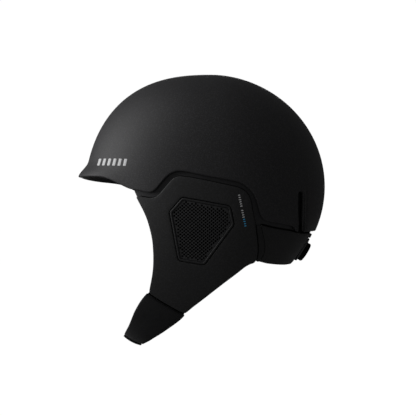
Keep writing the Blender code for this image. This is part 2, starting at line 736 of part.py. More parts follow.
def build_liner_pad(name, angles, heights, thick, cols, rows):
    """Cushion on the liner."""
    across = np.linspace(-1, 1, cols)[None, :]
    down = np.linspace(-1, 1, rows)[:, None]
    start, end = map(math.radians, angles)
    low, high = heights
    angle = (start + end) / 2 + (end - start) / 2 * across * (1 - 0.10 * down ** 4)
    z = (low + high) / 2 - (high - low) / 2 * down * (1 - 0.12 * across ** 4)
    points = ring_point(angle, z)
    normal = normals(points)
    depth = PAD_DEPTH + PAD_RIM_T + (thick - PAD_RIM_T) * cushion_swell(across, down)
    body = sheet(points - normal * PAD_DEPTH, points - normal * depth[..., None])
    solid(name, body, "pad")


def build_crown_pad():
    """Pad domed towards the liner and flat towards the head."""
    dome_rings, count = 3, 24
    half_x, half_y = CROWN_HALF
    turns = [2 * math.pi * k / count for k in range(count)]
    verts = [(0, TOP_Y, CROWN_TOP_Z)]
    for ring in range(1, dome_rings + 1):
        for turn in turns:
            x = half_x * ring / dome_rings * math.cos(turn)
            y = half_y * ring / dome_rings * math.sin(turn)
            fall = (x * x / CROWN_DIVISOR[0] + y * y / CROWN_DIVISOR[1]) * 0.85
            verts.append((x, TOP_Y + y, CROWN_TOP_Z - fall))
    for scale, lift in ((1.0, 0.9), (0.94, 0.0)):
        verts += [(half_x * scale * math.cos(turn),
                   TOP_Y + half_y * scale * math.sin(turn),
                   CROWN_FACE_Z + lift) for turn in turns]
    faces = fan_and_rings(dome_rings + 2, count)
    base = 1 + (dome_rings + 1) * count
    faces.append(tuple(range(base + count - 1, base - 1, -1)))
    solid("crown_pad", (verts, faces), "pad")


# ---------------------------------------------------------------- rear panel
# Edges of the left half as (y, z).
PANEL_TOP = [(49, -16.2), (53, -18), (61.5, -19.9), (71, -21.7), (81, -23.2),
             (85, -24.5), (92, -25.6), (112, -27.3)]
PANEL_BOTTOM = [(49, -51.8), (56.5, -54.2), (62.5, -55.3), (69, -56.3),
                (76, -57.2), (81.5, -57.4), (90, -59)]
PANEL_FRONT = [(50.6, -16), (50.8, -19.7), (51.9, -25.5), (53.6, -31.5),
               (54.4, -37.5), (54.1, -43), (52.5, -47.6), (49.8, -51.8)]

# The dial axis leans out rearwards and down. Places in its frame are (x, up
# the slanted face from the axis, outwards along the axis).
DIAL_DIP = math.radians(32.0)     # dial axis below the horizontal
DIAL_UP = 15.4                    # dial axis place along the slanted face
RECESS_S = 102.3                  # floor of the dial recess
RECESS_BOX = (37, -14, 14.6, 4)   # half width, bottom, top, corner radius
RECESS_SPAN = (RECESS_S, RECESS_S + 12)
BORE_RADIUS, BORE_SPAN = 4.3, (RECESS_S - 12, RECESS_S + 8)


def dial_frame(x, up, out):
    """Design frame place of a point in the dial's frame."""
    sin, cos = math.sin(DIAL_DIP), math.cos(DIAL_DIP)
    up = up + DIAL_UP
    return (x, out * cos + up * sin, -out * sin + up * cos)


def slab(outline, span, holes=(), rim=0.0):
    """Flat plate across the dial axis; rim chamfers its outward face."""
    def put(points, out):
        return np.stack(dial_frame(points[:, 0], points[:, 1], out), -1)
    low, high = span
    layers = [(rim, high), (0, high - rim), (0, low)] if rim else [(0, high), (0, low)]
    return plate(put, outline, holes, layers, 400)


def panel_grid(rows, cols):
    """Plan angles and heights between the panel's edge curves."""
    across = np.linspace(-1, 1, cols)
    down = np.linspace(0, 1, rows)[:, None]
    front_y, front_z = np.array(PANEL_FRONT, float).T
    z = np.broadcast_to(-18 - 36 * down, (rows, cols))
    # Each edge depends on where the others run, so the grid is settled in turns.
    for _ in range(8):
        start = plan_angle(np.interp(-z, -front_z, front_y), z)
        angle = math.pi + across * (math.pi - start)
        z = (edge_height(PANEL_TOP, angle[0]) * (1 - down)
             + edge_height(PANEL_BOTTOM, angle[-1]) * down)
    return across, angle, z


def build_rear_panel():
    across, angle, z = panel_grid(6, 31)
    end_depth = np.clip((np.abs(across) - 0.97) / 0.03, 0, 1)[None] * 0.5
    points = ring_point(angle, z)
    outer = points - normals(points) * (PANEL_OUT + end_depth * np.ones(z.shape))[..., None]
    z_inner = z.copy()
    z_inner[0] -= 0.5
    points = ring_point(angle, z_inner)
    inner = points - normals(points) * PANEL_IN

    # A thin lip runs up behind the shell's edge and closes the joint.
    def lip_row(height, depth):
        row = ring_point(angle[0], height)
        return (row - normals(row) * depth)[None]

    top = edge_height(SHELL_EDGE, angle[0]) + LIP_RISE
    outer = np.concatenate([lip_row(top, LIP_OUT), lip_row(z[0], LIP_OUT), outer])
    inner = np.concatenate([lip_row(top, LIP_IN), lip_row(z[0] + 0.7, LIP_IN), inner])
    panel = solid("rear_panel", sheet(outer, inner), "panel")
    cut(panel, "dial_recess_cutter", slab(rounded_box(*RECESS_BOX), RECESS_SPAN))
    cut(panel, "dial_bore_cutter", slab(circle(BORE_RADIUS), BORE_SPAN))


# ---------------------------------------------------------------- fit system
# Boxes are (half width, bottom, top, corner radius, point spacing), spans are
# the two ends along the dial axis.
BAND_S = 95.8                     # middle of the bands along the dial axis
RACK_HALF_T = 1.4
RACK_S0, RACK_S1 = BAND_S - RACK_HALF_T, BAND_S + RACK_HALF_T

HOUSING_BOX = (25, -12.6, 13.8, 5, 5)
HOUSING_SPAN = (RECESS_S + 1.0, RECESS_S + 3.3)
HOUSING_HOLE, HOUSING_RIM = 8.4, 0.3
DETENT_RADIUS, DETENT_TIP, DETENT_ROOT = 8.0, 6.4, 5.8
DETENT_SPAN = (RECESS_S + 1.6, RECESS_S + 2.8)
COVER_BOX = (18.5, -13, 13, 4, 9)
COVER_SPAN = (91.8, 93.9)
COVER_HOLE = 1.9
COVER_SCREW_UP = 11.0
COVER_SCREW = [(0, 90.6), (2.9, 90.6), (2.9, 91.5), (1.5, 91.5), (1.5, 96.2),
               (0, 96.2)]         # (radius, place along the axis)

DIAL_AXIS_S = 108.5
DIAL_R, DIAL_RIDGES, RIDGE_DEPTH = 10.2, 24, 0.9
DIAL_SPAN = (RECESS_S + 3.9, RECESS_S + 9.5)
DIAL_HOLE, DIAL_RIM = 3.4, 0.4
PINION_TEETH, PINION_R = 10, 4.0
PINION_TOOTH = [(-0.20, 3.0), (-0.06, 4.6), (0.06, 4.6), (0.20, 3.0)]   # (angle, radius)
SHAFT_R, SHAFT_BORE_R, SHAFT_END_S = 2.9, 1.45, RECESS_S + 9.0
DIAL_SCREW = [(0, RECESS_S + 0.5), (1.1, RECESS_S + 0.5), (1.1, RECESS_S + 9.3),
              (3.0, RECESS_S + 9.3), (3.0, RECESS_S + 9.8), (2.4, RECESS_S + 10.3),
              (0, RECESS_S + 9.9)]
SPRING_RADII = {0: 5.35, 1: 4.5, 11: 4.5}    # by place in each third of the ring
SPRING_BODY_R, SPRING_HOLE = 4.2, 3.3
SPRING_SPAN = (RECESS_S + 1.7, RECESS_S + 2.7)

BAND_AXIS_UP = 6.5
BAND_BEND_X = 22.0                # the bands run straight up to here
BAND_CURVE, BAND_POWER = 0.0731, 1.495       # forward curve beyond the bend
BAND_FALL = 0.20                  # drop per mm beyond the bend
RACK_START_X = -9.0
RACK_ROOT_UP, RACK_TIP_UP, RACK_BACK_UP = 4.85, 3.35, 8.8
RACK_TOOTH = [(-0.72, RACK_ROOT_UP), (-0.20, RACK_TIP_UP),
              (0.20, RACK_TIP_UP), (0.72, RACK_ROOT_UP)]     # (x, up)
ARM_HALF_T = 1.0
# Half height of the wide part of the band by distance from the middle.
ARM_STATIONS = [(28, 6.6), (33, 6.6), (38, 6.6), (43, 6.6), (48, 6.6), (53, 6.6),
                (57.5, 6.6), (60, 4.5)]
NAPE_X, NAPE_HALF_H = (34.5, 58.5), 7.0
NAPE_BACK, NAPE_RIM, NAPE_SWELL = 1.4, 2.4, 3.6   # depths off the band's middle


def turned(profile, count, centre_up=0.0):
    """Solid of revolution from (radius, out) pairs that start and end on its axis."""
    verts = [dial_frame(0, centre_up, profile[0][1])]
    for radius, out in profile[1:-1]:
        verts += [dial_frame(x, up, out) for x, up in circle(radius, count, (0, centre_up))]
    verts.append(dial_frame(0, centre_up, profile[-1][1]))
    rings = len(profile) - 2
    faces = fan_and_rings(rings, count)
    base, tip = 1 + (rings - 1) * count, len(verts) - 1
    faces += [(base + k, tip, base + (k + 1) % count) for k in range(count)]
    return verts, faces


def build_fixed_parts():
    """Housing and detent ring outside the panel, cover and screws inside it."""
    housing = slab(rounded_box(*HOUSING_BOX), HOUSING_SPAN,
                   [circle(HOUSING_HOLE, 32)], HOUSING_RIM)
    solid("dial_housing", housing, "housing")
    ring = slab(circle(DETENT_RADIUS, 30), DETENT_SPAN,
                [ridged(DETENT_TIP, DETENT_ROOT, 36)])
    solid("detent_ring", ring, "steel")
    screws = ((COVER_SCREW_UP, "top"), (-COVER_SCREW_UP, "bottom"))
    holes = [circle(COVER_HOLE, 12, (0, up)) for up, _ in screws]
    solid("fit_cover", slab(rounded_box(*COVER_BOX), COVER_SPAN, holes), "housing")
    for up, tag in screws:
        solid("cover_screw_" + tag, turned(COVER_SCREW, 16, up), "steel")


def pinion_body():
    """Toothed end, plain shaft and a bore from the shaft's outward end."""
    teeth = []
    for k in range(PINION_TEETH):
        centre = math.pi / 2 + 2 * math.pi * k / PINION_TEETH
        teeth += [(r * math.cos(centre + turn), r * math.sin(centre + turn))
                  for turn, r in PINION_TOOTH]
    teeth = ccw(np.array(teeth))
    size = len(teeth)

    def matched_circle(radius):
        """Circle that starts at its point nearest to the first tooth point."""
        loop = circle(radius, size)
        first = np.argmin(np.linalg.norm(loop - teeth[0], axis=1))
        return np.roll(loop, -first, 0)

    shaft, bore = matched_circle(SHAFT_R), matched_circle(SHAFT_BORE_R)
    stack = [(teeth, RACK_S0 + 0.2), (teeth, RACK_S1 - 0.2),
             (shaft, RACK_S1 - 0.19), (shaft, SHAFT_END_S),
             (bore, SHAFT_END_S), (bore, RACK_S0 + 3.0)]
    verts = [dial_frame(x, up, out) for loop, out in stack for x, up in loop]
    last = (len(stack) - 1) * size
    faces = []
    for start in range(0, last, size):
        faces += ring_quads(start, start + size, size)
    faces.append(tuple(range(size - 1, -1, -1)))
    faces.append(tuple(range(last, last + size)))
    return verts, faces


def build_dial():
    """Parts that turn with the dial."""
    # The empty's own Z runs along the dial axis, towards the head.
    axis = pivot("dial_axis", dial_frame(0, 0, DIAL_AXIS_S),
                 (math.pi / 2 - DIAL_DIP, 0, 0))
    knurl = ridged(DIAL_R, DIAL_R - RIDGE_DEPTH, DIAL_RIDGES * 2)
    dial = slab(knurl, DIAL_SPAN, [circle(DIAL_HOLE, 16)], DIAL_RIM)
    solid("fit_dial", dial, "dial", axis)
    solid("drive_pinion", pinion_body(), "dial", axis)
    solid("dial_screw", turned(DIAL_SCREW, 20), "steel", axis)
    arms = polar_loop([SPRING_RADII.get(k % 12, SPRING_BODY_R) for k in range(36)])
    spring = slab(arms, SPRING_SPAN, [circle(SPRING_HOLE, 20)])
    solid("click_spring", spring, "steel", axis)


def band_path(x):
    """Place along the dial axis and up the face of the band's middle line."""
    beyond = np.maximum(np.asarray(x, float) - BAND_BEND_X, 0)
    return BAND_S - BAND_CURVE * beyond ** BAND_POWER, -BAND_FALL * beyond


def band_body(side):
    """Rack above the pinion on the left, below it on the right, and a wide arm."""
    pitch = 2 * math.pi * PINION_R / PINION_TEETH
    rack = [((k + 0.5) * pitch + x, up) for k in range(-3, 4) for x, up in RACK_TOOTH]
    # The last tooth slopes straight into the plain part.
    rack = [(RACK_START_X, RACK_ROOT_UP)] + rack[:-1]
    rack += [(12, RACK_ROOT_UP), (21.0, RACK_ROOT_UP)]
    # Stations as (x, one edge, other edge, half thickness).
    stations = [(x, side * up, side * RACK_BACK_UP, RACK_HALF_T) for x, up in rack]
    stations.append((23.5, side * -4.0, side * 8.0, RACK_HALF_T))
    for x, half in ARM_STATIONS:
        middle = band_path(x)[1]
        stations.append((x, middle - side * half, middle + side * half, ARM_HALF_T))
    verts, faces = [], []
    for x, edge0, edge1, thick in stations:
        out = float(band_path(x)[0])
        verts += [dial_frame(side * x, up, out + off)
                  for up, off in ((edge0, -thick), (edge1, -thick),
                                  (edge1, thick), (edge0, thick))]
    last = len(verts) - 4
    for start in range(0, last, 4):
        faces += ring_quads(start, start + 4, 4)
    faces += [(3, 2, 1, 0), tuple(range(last, last + 4))]
    return verts, faces


def nape_pad_body(side):
    """Cushion on the head side of the band's wide arm."""
    rows, cols = 5, 7
    x = np.linspace(*NAPE_X, cols)
    across = np.linspace(-1, 1, cols)[None]
    down = np.linspace(-1, 1, rows)[:, None]
    out, middle = band_path(x)
    up = middle[None] + NAPE_HALF_H * down * (1 - 0.15 * np.abs(across) ** 4)
    slope = BAND_CURVE * BAND_POWER * (x - BAND_BEND_X) ** (BAND_POWER - 1)
    length = np.hypot(slope, 1.0)

    def layer(depth):
        places = dial_frame(side * (x - slope / length * depth), up,
                            out - 1.0 / length * depth)
        return np.stack(np.broadcast_arrays(*places), -1)

    return sheet(layer(NAPE_BACK),
                 layer(NAPE_RIM + NAPE_SWELL * cushion_swell(across, down)))


def build_band(side, tag):
    slide = pivot("band_axis_" + tag, dial_frame(0, side * BAND_AXIS_UP, BAND_S))
    solid("fit_band_" + tag, band_body(side), "band", slide)
    solid("nape_pad_" + tag, nape_pad_body(side), "pad", slide)


# ------------------------------------------------------------------ chin cup
# Edges as (z, y), from the side to the centre.
CUP_FRONT = [(-81, -58.2), (-91, -64.9), (-99, -69.7), (-107, -73.2),
             (-115, -76.8), (-121, -80.5), (-127, -84), (-131.5, -86.5)]
CUP_REAR = [(-103.4, -20.6), (-110.5, -29.2), (-119.5, -41), (-129.5, -55),
            (-135, -63), (-140.5, -70)]
CUP_FRONT_DROP, CUP_REAR_DROP = 49.1, 36.1   # fall from the seam to the centre
CUP_SIDE_F, CUP_SIDE_R = 75.6, 71.2   # half width of the cup at the seam
CUP_TAPER = 0.27         # carries the ear covers' inward lean into the cup
CUP_SWEEP = 89.0         # section angle at each seam, degrees
CUP_BULGE = 1.4          # mid-line bulge away from CUP_BULGE_CENTRE
CUP_BULGE_CENTRE = (0, -38.0, -70.0)
CUP_INSIDE = (0, -45.0, -60.0)        # point the normals face away from
CUP_T = 4.0
# Columns of the left half, as fractions of the way to the seam.
CUP_COLUMNS = [0.065, 0.13, 0.19, 0.25, 0.272, 0.305, 0.37, 0.44, 0.51, 0.58, 0.65,
               0.72, 0.79, 0.86, 0.93, 1.0]
SEAT_FLOOR, SEAT_END = 0.272, 0.305   # columns where the seat's step ends and starts
SEAT_DEPTH = 2.3
TAB_SHIFT = (-0.6, 4.2, 7.4)          # last row of the hook tab from the seam


def cup_grid(across, down):
    """Outer face: across from -1 (right seam) to 1, down 0 front to 1 rear."""
    across, down = np.broadcast_arrays(across, down)
    angle = across * math.radians(CUP_SWEEP)
    power = 2 / SECTION_POWER
    sin, cos = np.abs(np.sin(angle)) ** power, np.abs(np.cos(angle)) ** power
    x = np.sign(angle) * (sin - CUP_TAPER * cos * (1 - cos))

    def edge(table, half, drop):
        edge_z, edge_y = np.array(table, float).T
        z = edge_z[0] - drop * cos
        return np.stack([half * x, np.interp(-z, -edge_z, edge_y), z], -1)

    front = edge(CUP_FRONT, CUP_SIDE_F, CUP_FRONT_DROP)
    rear = edge(CUP_REAR, CUP_SIDE_R, CUP_REAR_DROP)
    points = front * (1 - down[..., None]) + rear * down[..., None]
    away = points - np.array(CUP_BULGE_CENTRE)
    away /= np.linalg.norm(away, axis=-1, keepdims=True)
    return points + away * (CUP_BULGE * 4 * down * (1 - down))[..., None]


def cup_layers(columns, rows, span, depths, taper=0.0):
    """Grids at the given depths below the outer face; taper narrows the ends."""
    across = np.array(columns)[None, :]
    ends = taper * np.abs(np.linspace(-1, 1, len(columns))[None, :]) ** 3
    low, high = span[0] + ends, span[1] - ends
    down = low + (high - low) * np.linspace(0, 1, rows)[:, None]
    points = cup_grid(across, down)
    step = 1e-3
    along = cup_grid(across + step, down) - cup_grid(across - step, down)
    back = cup_grid(across, down + step) - cup_grid(across, down - step)
    normal = np.cross(along, back)
    normal /= np.linalg.norm(normal, axis=-1, keepdims=True)
    away = points - np.array(CUP_INSIDE)
    normal *= np.sign(np.sum(normal * away, -1, keepdims=True))
    return [points - normal * depth for depth in depths]


def build_chin_strap(hinge):
    columns = [-k for k in CUP_COLUMNS[::-1]] + [0.0] + CUP_COLUMNS
    outer, seat, inner = cup_layers(columns, 5, (0, 1), (0.0, SEAT_DEPTH, CUP_T))
    # At the tip the cup is thinned from outside to seat the patch.
    blend = np.clip((SEAT_END - np.abs(columns)) / (SEAT_END - SEAT_FLOOR), 0, 1)
    blend = blend[None, :, None]
    solid("chin_strap", sheet(outer * (1 - blend) + seat * blend, inner),
          "neoprene", hinge)


def build_hook_tab(hinge):
    """Tab inside the free left end, up behind the left flap's lower edge."""
    layers = cup_layers(np.linspace(0.90, 1.0, 4), 6, (0.16, 0.84), (4.4, 6.0))
    grids = []
    for layer in layers:
        rows = np.swapaxes(layer[:, ::-1], 0, 1)
        grids.append(np.concatenate([rows[:1] + TAB_SHIFT, rows]))
    solid("hook_tab", sheet(*grids), "tape", hinge)


def build_chin(right_axis):
    """Chin cup, hung on the right flap at its right seam."""
    seam = cup_grid(np.array([[-1.0]]), np.array([[0.5]]))[0, 0]
    hinge = pivot("chin_axis", seam, parent=right_axis)
    build_chin_strap(hinge)
    patch = cup_layers(np.linspace(-0.25, 0.25, 11), 4, (0.03, 0.97), (0.0, 2.0), 0.08)
    solid("chin_strap_patch", sheet(*patch), "neoprene", hinge)
    pad = cup_layers(np.linspace(-0.60, 0.60, 17), 4, (0.10, 0.90), (4.3, 7.2), 0.15)
    solid("chin_pad", sheet(*pad), "pad", hinge)
    build_hook_tab(hinge)


def main():
    for obj in list(bpy.data.objects):
        bpy.data.objects.remove(obj, do_unlink=True)
    build_shell()
    build_liner()
    left_axis, right_axis = [build_side(side, tag) for side, tag in SIDES]
    for pad in LINER_PADS:
        build_liner_pad(*pad)
    build_crown_pad()
    build_rear_panel()
    build_fixed_parts()
    build_dial()
    for side, tag in SIDES:
        build_band(side, tag)
    build_chin(right_axis)
    build_loop_patch(left_axis)


main()
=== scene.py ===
"""Looks of a water helmet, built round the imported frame.

Design millimetres are centred on the shell: +Z up, the wearer faces -Y, the
wearer's left is +X. The frame's origin is the crown pad's flat inner face.
A "depth" is always measured inwards from the surface a piece follows.
"""
import math

import bmesh
import bpy
import numpy as np
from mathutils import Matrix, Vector, noise
from mathutils.geometry import delaunay_2d_cdt


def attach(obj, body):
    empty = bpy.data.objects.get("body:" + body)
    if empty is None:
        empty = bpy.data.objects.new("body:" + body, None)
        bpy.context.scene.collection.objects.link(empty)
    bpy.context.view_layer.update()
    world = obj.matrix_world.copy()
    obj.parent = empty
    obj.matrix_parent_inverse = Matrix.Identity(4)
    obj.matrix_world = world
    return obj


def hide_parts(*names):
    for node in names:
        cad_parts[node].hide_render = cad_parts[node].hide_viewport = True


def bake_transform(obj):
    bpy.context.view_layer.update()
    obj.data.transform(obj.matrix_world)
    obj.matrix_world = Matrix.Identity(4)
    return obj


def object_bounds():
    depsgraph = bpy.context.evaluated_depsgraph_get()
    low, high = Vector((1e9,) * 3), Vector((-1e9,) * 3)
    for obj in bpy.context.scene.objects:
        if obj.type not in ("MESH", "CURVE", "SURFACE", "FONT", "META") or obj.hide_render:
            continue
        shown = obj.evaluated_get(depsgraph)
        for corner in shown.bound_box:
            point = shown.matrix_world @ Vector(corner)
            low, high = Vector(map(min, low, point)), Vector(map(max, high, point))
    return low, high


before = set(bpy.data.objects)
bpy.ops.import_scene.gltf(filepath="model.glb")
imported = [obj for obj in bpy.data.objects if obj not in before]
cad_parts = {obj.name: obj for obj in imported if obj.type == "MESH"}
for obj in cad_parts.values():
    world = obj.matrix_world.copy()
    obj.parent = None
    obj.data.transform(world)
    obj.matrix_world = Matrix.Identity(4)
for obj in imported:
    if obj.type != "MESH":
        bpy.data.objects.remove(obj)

CAD_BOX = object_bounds()

# ---------------------------------------------------------------- dimensions
MM = 0.001
TOP_Z = 137.8            # top of the shell above the design centre
TOP_Y = 0.67             # fore-aft place of the top
HALF_WIDTH = 99.0        # widest half width of the shell
WIDE_Z = 8.0             # height of the widest section
UPPER_POWER = 2.35       # roundness of the sides above the widest section
LOWER_POWER = 2.2        # and below it
LOWER_DROP = 150.0       # depth at which the sides would meet below
FRONT_REACH = 129.0      # front of the shell from TOP_Y
FRONT_FOOT_Z = -9.7      # height where the front reaches furthest
FRONT_POWER = 2.49       # roundness of the front profile
REAR_REACH = 120.4       # rear of the shell from TOP_Y
REAR_MID_Z = 22.8        # height where the rear reaches furthest
SECTION_POWER = 2.2      # squareness of the plan sections
CENTRE_SHIFT = 7.3       # widest section lies this far behind TOP_Y
CROWN_FACE_Z = 113.7     # flat inner face of the crown pad
ORIGIN = (0, 0, CROWN_FACE_Z)

SHELL_T = 2.5                     # shell thickness
TRIM_OUT = 3.0                    # edge trim's depth
LINER_OUT, LINER_IN = 3.4, 17.0   # foam liner's depths
LINER_LIFT = 3.5                  # liner edge above the shell edge
FLAP_T = 2.4                      # ear flap thickness
PANEL_OUT, PANEL_IN = 1.5, 6.0    # rear panel's depths
LIP_RISE = 2.6                    # rear panel lip above the shell edge
BRIM_OUT = 7.4                    # how far the brow brim flares out
BRIM_TOP_Z = 49.0                 # height where the flare starts

HINGE_X, HINGE_Z = 91.6, 26.0     # left flap's hinge line at y = 0
HINGE_DIP = 0.13                  # fall of the hinge line per mm rearwards

DIAL_DIP = math.radians(32.0)     # dial axis below the horizontal
DIAL_ALONG = 15.4                 # dial axis place along the slanted face
RECESS_S = 102.3                  # floor of the dial recess along the axis
DIAL_R, DIAL_RIDGES = 10.2, 24
BAND_S = 95.8                     # fit band's middle line, along the dial axis
BAND_FLAT_X = 22.0                # half length of its straight part
BAND_BEND, BAND_POWER = 0.0731, 1.495   # curve of the band beyond it

# Edge curves of the left side as (y, z) in mm, front to rear.
SHELL_EDGE = [(-127, 32.5), (-113, 30.5), (-106, 30), (-98, 29), (-92.5, 27),
              (-88, 24.5), (-81.5, 21), (-77, 18.5), (-72.5, 16.5),
              (-65.5, 15.5), (-59.5, 14), (-52, 12.5), (-48.5, 14.5),
              (-44.5, 20), (-38.5, 27), (-33, 31.5), (-26.5, 33),
              (-19.5, 32), (-5.5, 29), (10, 26), (26.5, 23), (31.5, 21.5),
              (37.5, 17.5), (42, 13), (45, 7.5), (47, 0.5), (48, -5),
              (49.5, -10.5), (53, -13), (61.5, -14.5), (71, -16), (82.4, -18.4),
              (83.6, -23.2), (90, -24), (112, -23)]
LINER_EDGE = SHELL_EDGE[:-4] + [(80.5, -18), (84, -23), (90, -24), (112, -23)]
PANEL_TOP = [(49, -16.2), (53, -18), (61.5, -19.9), (71, -21.7), (81, -23.2),
             (85, -24.5), (92, -25.6), (112, -27.3)]
PANEL_BOTTOM = [(49, -51.8), (56.5, -54.2), (62.5, -55.3), (69, -56.3),
                (76, -57.2), (81.5, -57.4), (90, -59)]
# The panel's front edge, top to bottom.
PANEL_FRONT = [(50.6, -16), (50.8, -19.7), (51.9, -25.5), (53.6, -31.5),
               (54.4, -37.5), (54.1, -43), (52.5, -47.6), (49.8, -51.8)]

# Ear flap outline as (y, z), in order round the flap.
FLAP_TOP = [(-67.5, 10.5), (-62.5, 9.8), (-56.5, 8.6), (-51.5, 8), (-47.5, 9.3),
            (-43.5, 12.8), (-38.5, 18.6), (-34.5, 23.2), (-31.5, 26.4),
            (-26.5, 28.2), (-16, 26.9), (-0.5, 23.9), (14, 20.8), (28.5, 17.7),
            (35, 14.3), (38.5, 10), (40.3, 4.7), (41.4, -2.3), (42.8, -9.2),
            (44, -14)]
FLAP_REAR = [(45, -22.5), (46.1, -31.5), (46.9, -37.5), (46.7, -43.5),
             (45.8, -49.6)]
FLAP_LOW = [(43.8, -52.4), (39.5, -53.6), (35.5, -55.8), (26, -63.2),
            (16, -70.7), (6.5, -78.2), (-3, -86), (-13, -94), (-21.3, -101.3)]
FLAP_SEAM = [(-29, -97.5), (-37.5, -92.5), (-46, -87.3), (-55.3, -80.9)]
FLAP_FRONT = [(-54.2, -75), (-52.5, -67.3), (-51.2, -59.7),
              (-50.6, -52.2), (-50.5, -44.7), (-51, -33.6), (-52.2, -26.3),
              (-54, -19), (-56.3, -11.5), (-59.5, -4.2), (-63.5, 3.2)]

# Closed outlines on the side as (y, z).
VENT = [(-23.2, 8.9), (21.3, 0.7), (25, -16.6), (-2.7, -54.2), (-27.1, -50.1),
        (-35.3, -4.7)]
VENT_RADIUS = 4.0
EAR_PAD = [(-46, 1), (-36, 11.5), (0, 10.5), (20, 7), (33, -1), (38, -18),
           (40, -38), (35, -47), (20, -57), (6, -65), (-20, -67), (-38, -65),
           (-43.5, -56), (-43.5, -30), (-47, -13)]
EAR_MID = (-6, -24)      # middle of the ear pad's oval opening
TRIM_RIB = [(45.3, -17.2), (46.3, -22.5), (47.4, -31.5), (48.2, -37.5),
            (48.0, -43.5), (47.3, -49.2), (46.0, -51.9), (48.8, -51.9),
            (52.2, -47.2), (53.9, -43), (54.2, -37.5), (53.4, -31.5),
            (51.7, -25.5), (50.5, -19.7), (49.6, -17.2)]
TRIM_PANEL_SIDE = [(85.8, -22.9), (71, -20.6), (61.5, -18.8), (54, -16.6),
                   (49.9, -16.2), (49.4, -18.5), (50.4, -25.5), (52.0, -31.5),
                   (52.3, -37.5), (52.4, -43), (50.9, -47.6), (48.0, -51.6),
                   (45.2, -51.6)]
TRIM_FLAP_SIDE = [(43, -47.5), (43.8, -37.5), (43, -25), (41.5, -15.5),
                  (40, -10.5), (38.9, -3), (37.8, 3.5), (36, 8), (32.5, 11.8),
                  (27.5, 15.3), (14, 20.2), (0, 23.2), (-16, 25.9), (-25.5, 26.0),
                  (-30, 24.5), (-33, 21.5), (-37, 16.5), (-42.5, 10), (-47, 6.2),
                  (-51.5, 5.2), (-57, 6.4), (-66.3, 8.2), (-69, 13)]
LOOP_PATCH = [(-46.5, -84.5), (-30, -94.8), (-24.5, -88), (-41, -76.5)]

# Chin cup edges as (z, y), side to centre.
CUP_FRONT = [(-81, -58.2), (-91, -64.9), (-99, -69.7), (-107, -73.2),
             (-115, -76.8), (-121, -80.5), (-127, -84), (-131.5, -86.5)]
CUP_REAR = [(-103.4, -20.6), (-110.5, -29.2), (-119.5, -41), (-129.5, -55),
            (-135, -63), (-140.5, -70)]
# Half width and height at the seam, and fall from there to the centre.
CUP_FRONT_SPAN = (75.6, -81.0, 49.1)
CUP_REAR_SPAN = (71.2, -103.4, 36.1)
CUP_TAPER = 0.27         # carries the ear covers' inward lean into the cup
CUP_BULGE = 1.4          # outward bow between the cup's edges
CUP_BULGE_HEART = (0, -38.0, -70.0)   # the bow points away from here
CUP_HEART = (0, -45.0, -60.0)         # a point inside the cup


# ------------------------------------------------------------- array helpers
def unit(vectors):
    return vectors / np.maximum(np.linalg.norm(vectors, axis=-1, keepdims=True), 1e-12)


def smoothstep(value):
    value = np.clip(value, 0, 1)
    return value * value * (3 - 2 * value)


def window(value, low, high, soft):
    """1 between low and high, easing to 0 at both ends."""
    return smoothstep((value - low) / soft) * smoothstep((high - value) / soft)


def bell(value, centre, width):
    return np.exp(-((value - centre) / width) ** 2)


SMOOTH_STEP = 0.25       # sample spacing of the smoothed tables


def kernel(reach, sigma):
    """Smoothing weights over reach samples either way."""
    weights = np.exp(-0.5 * (np.arange(-reach, reach + 1) * SMOOTH_STEP / sigma) ** 2)
    return weights / weights.sum()


def soft_interp(value, xs, ys, sigma=2.2):
    """Table lookup with the table's corners rounded off."""
    order = np.argsort(xs)
    xs, ys = xs[order], ys[order]
    dense = np.arange(xs[0] - 15, xs[-1] + 15, SMOOTH_STEP)
    low = (ys[1] - ys[0]) / (xs[1] - xs[0])
    high = (ys[-1] - ys[-2]) / (xs[-1] - xs[-2])
    line = np.interp(dense, xs, ys)
    line = np.where(dense < xs[0], ys[0] + (dense - xs[0]) * low, line)
    line = np.where(dense > xs[-1], ys[-1] + (dense - xs[-1]) * high, line)
    reach = int(3 * sigma / SMOOTH_STEP)
    padded = np.concatenate([line[0] - low * SMOOTH_STEP * np.arange(reach, 0, -1), line,
                             line[-1] + high * SMOOTH_STEP * np.arange(1, reach + 1)])
    return np.interp(value, dense, np.convolve(padded, kernel(reach, sigma), mode="valid"))


# ------------------------------------------------------------ master surface
def half_width(z):
    z = np.asarray(z, float)
    up = np.clip((z - WIDE_Z) / (TOP_Z - WIDE_Z), 0, 1)
    down = np.clip((WIDE_Z - z) / LOWER_DROP, 0, 1)
    return HALF_WIDTH * np.where(z >= WIDE_Z,
                                 (1 - up ** UPPER_POWER) ** (1 / UPPER_POWER),
                                 (1 - down ** LOWER_POWER) ** (1 / LOWER_POWER))


def reaches(z):
    """Widest place and the reach in front of it and behind it at height z."""
    z = np.asarray(z, float)
    shift = CENTRE_SHIFT * half_width(z) / HALF_WIDTH
    rise = np.clip((z - FRONT_FOOT_Z) / (TOP_Z - FRONT_FOOT_Z), 0, 1)
    front = FRONT_REACH * (1 - rise ** FRONT_POWER) ** (1 / FRONT_POWER)
    off = np.clip(np.abs(z - REAR_MID_Z) / (TOP_Z - REAR_MID_Z), 0, 1)
    rear = REAR_REACH * np.sqrt(1 - off ** 2)
    return TOP_Y + shift, front + shift, np.maximum(rear - shift, 1e-6)


def reach_at(y, z):
    """Widest place at height z and the reach on y's side of it."""
    middle, front, rear = reaches(z)
    return middle, np.where(y < middle, front, rear)


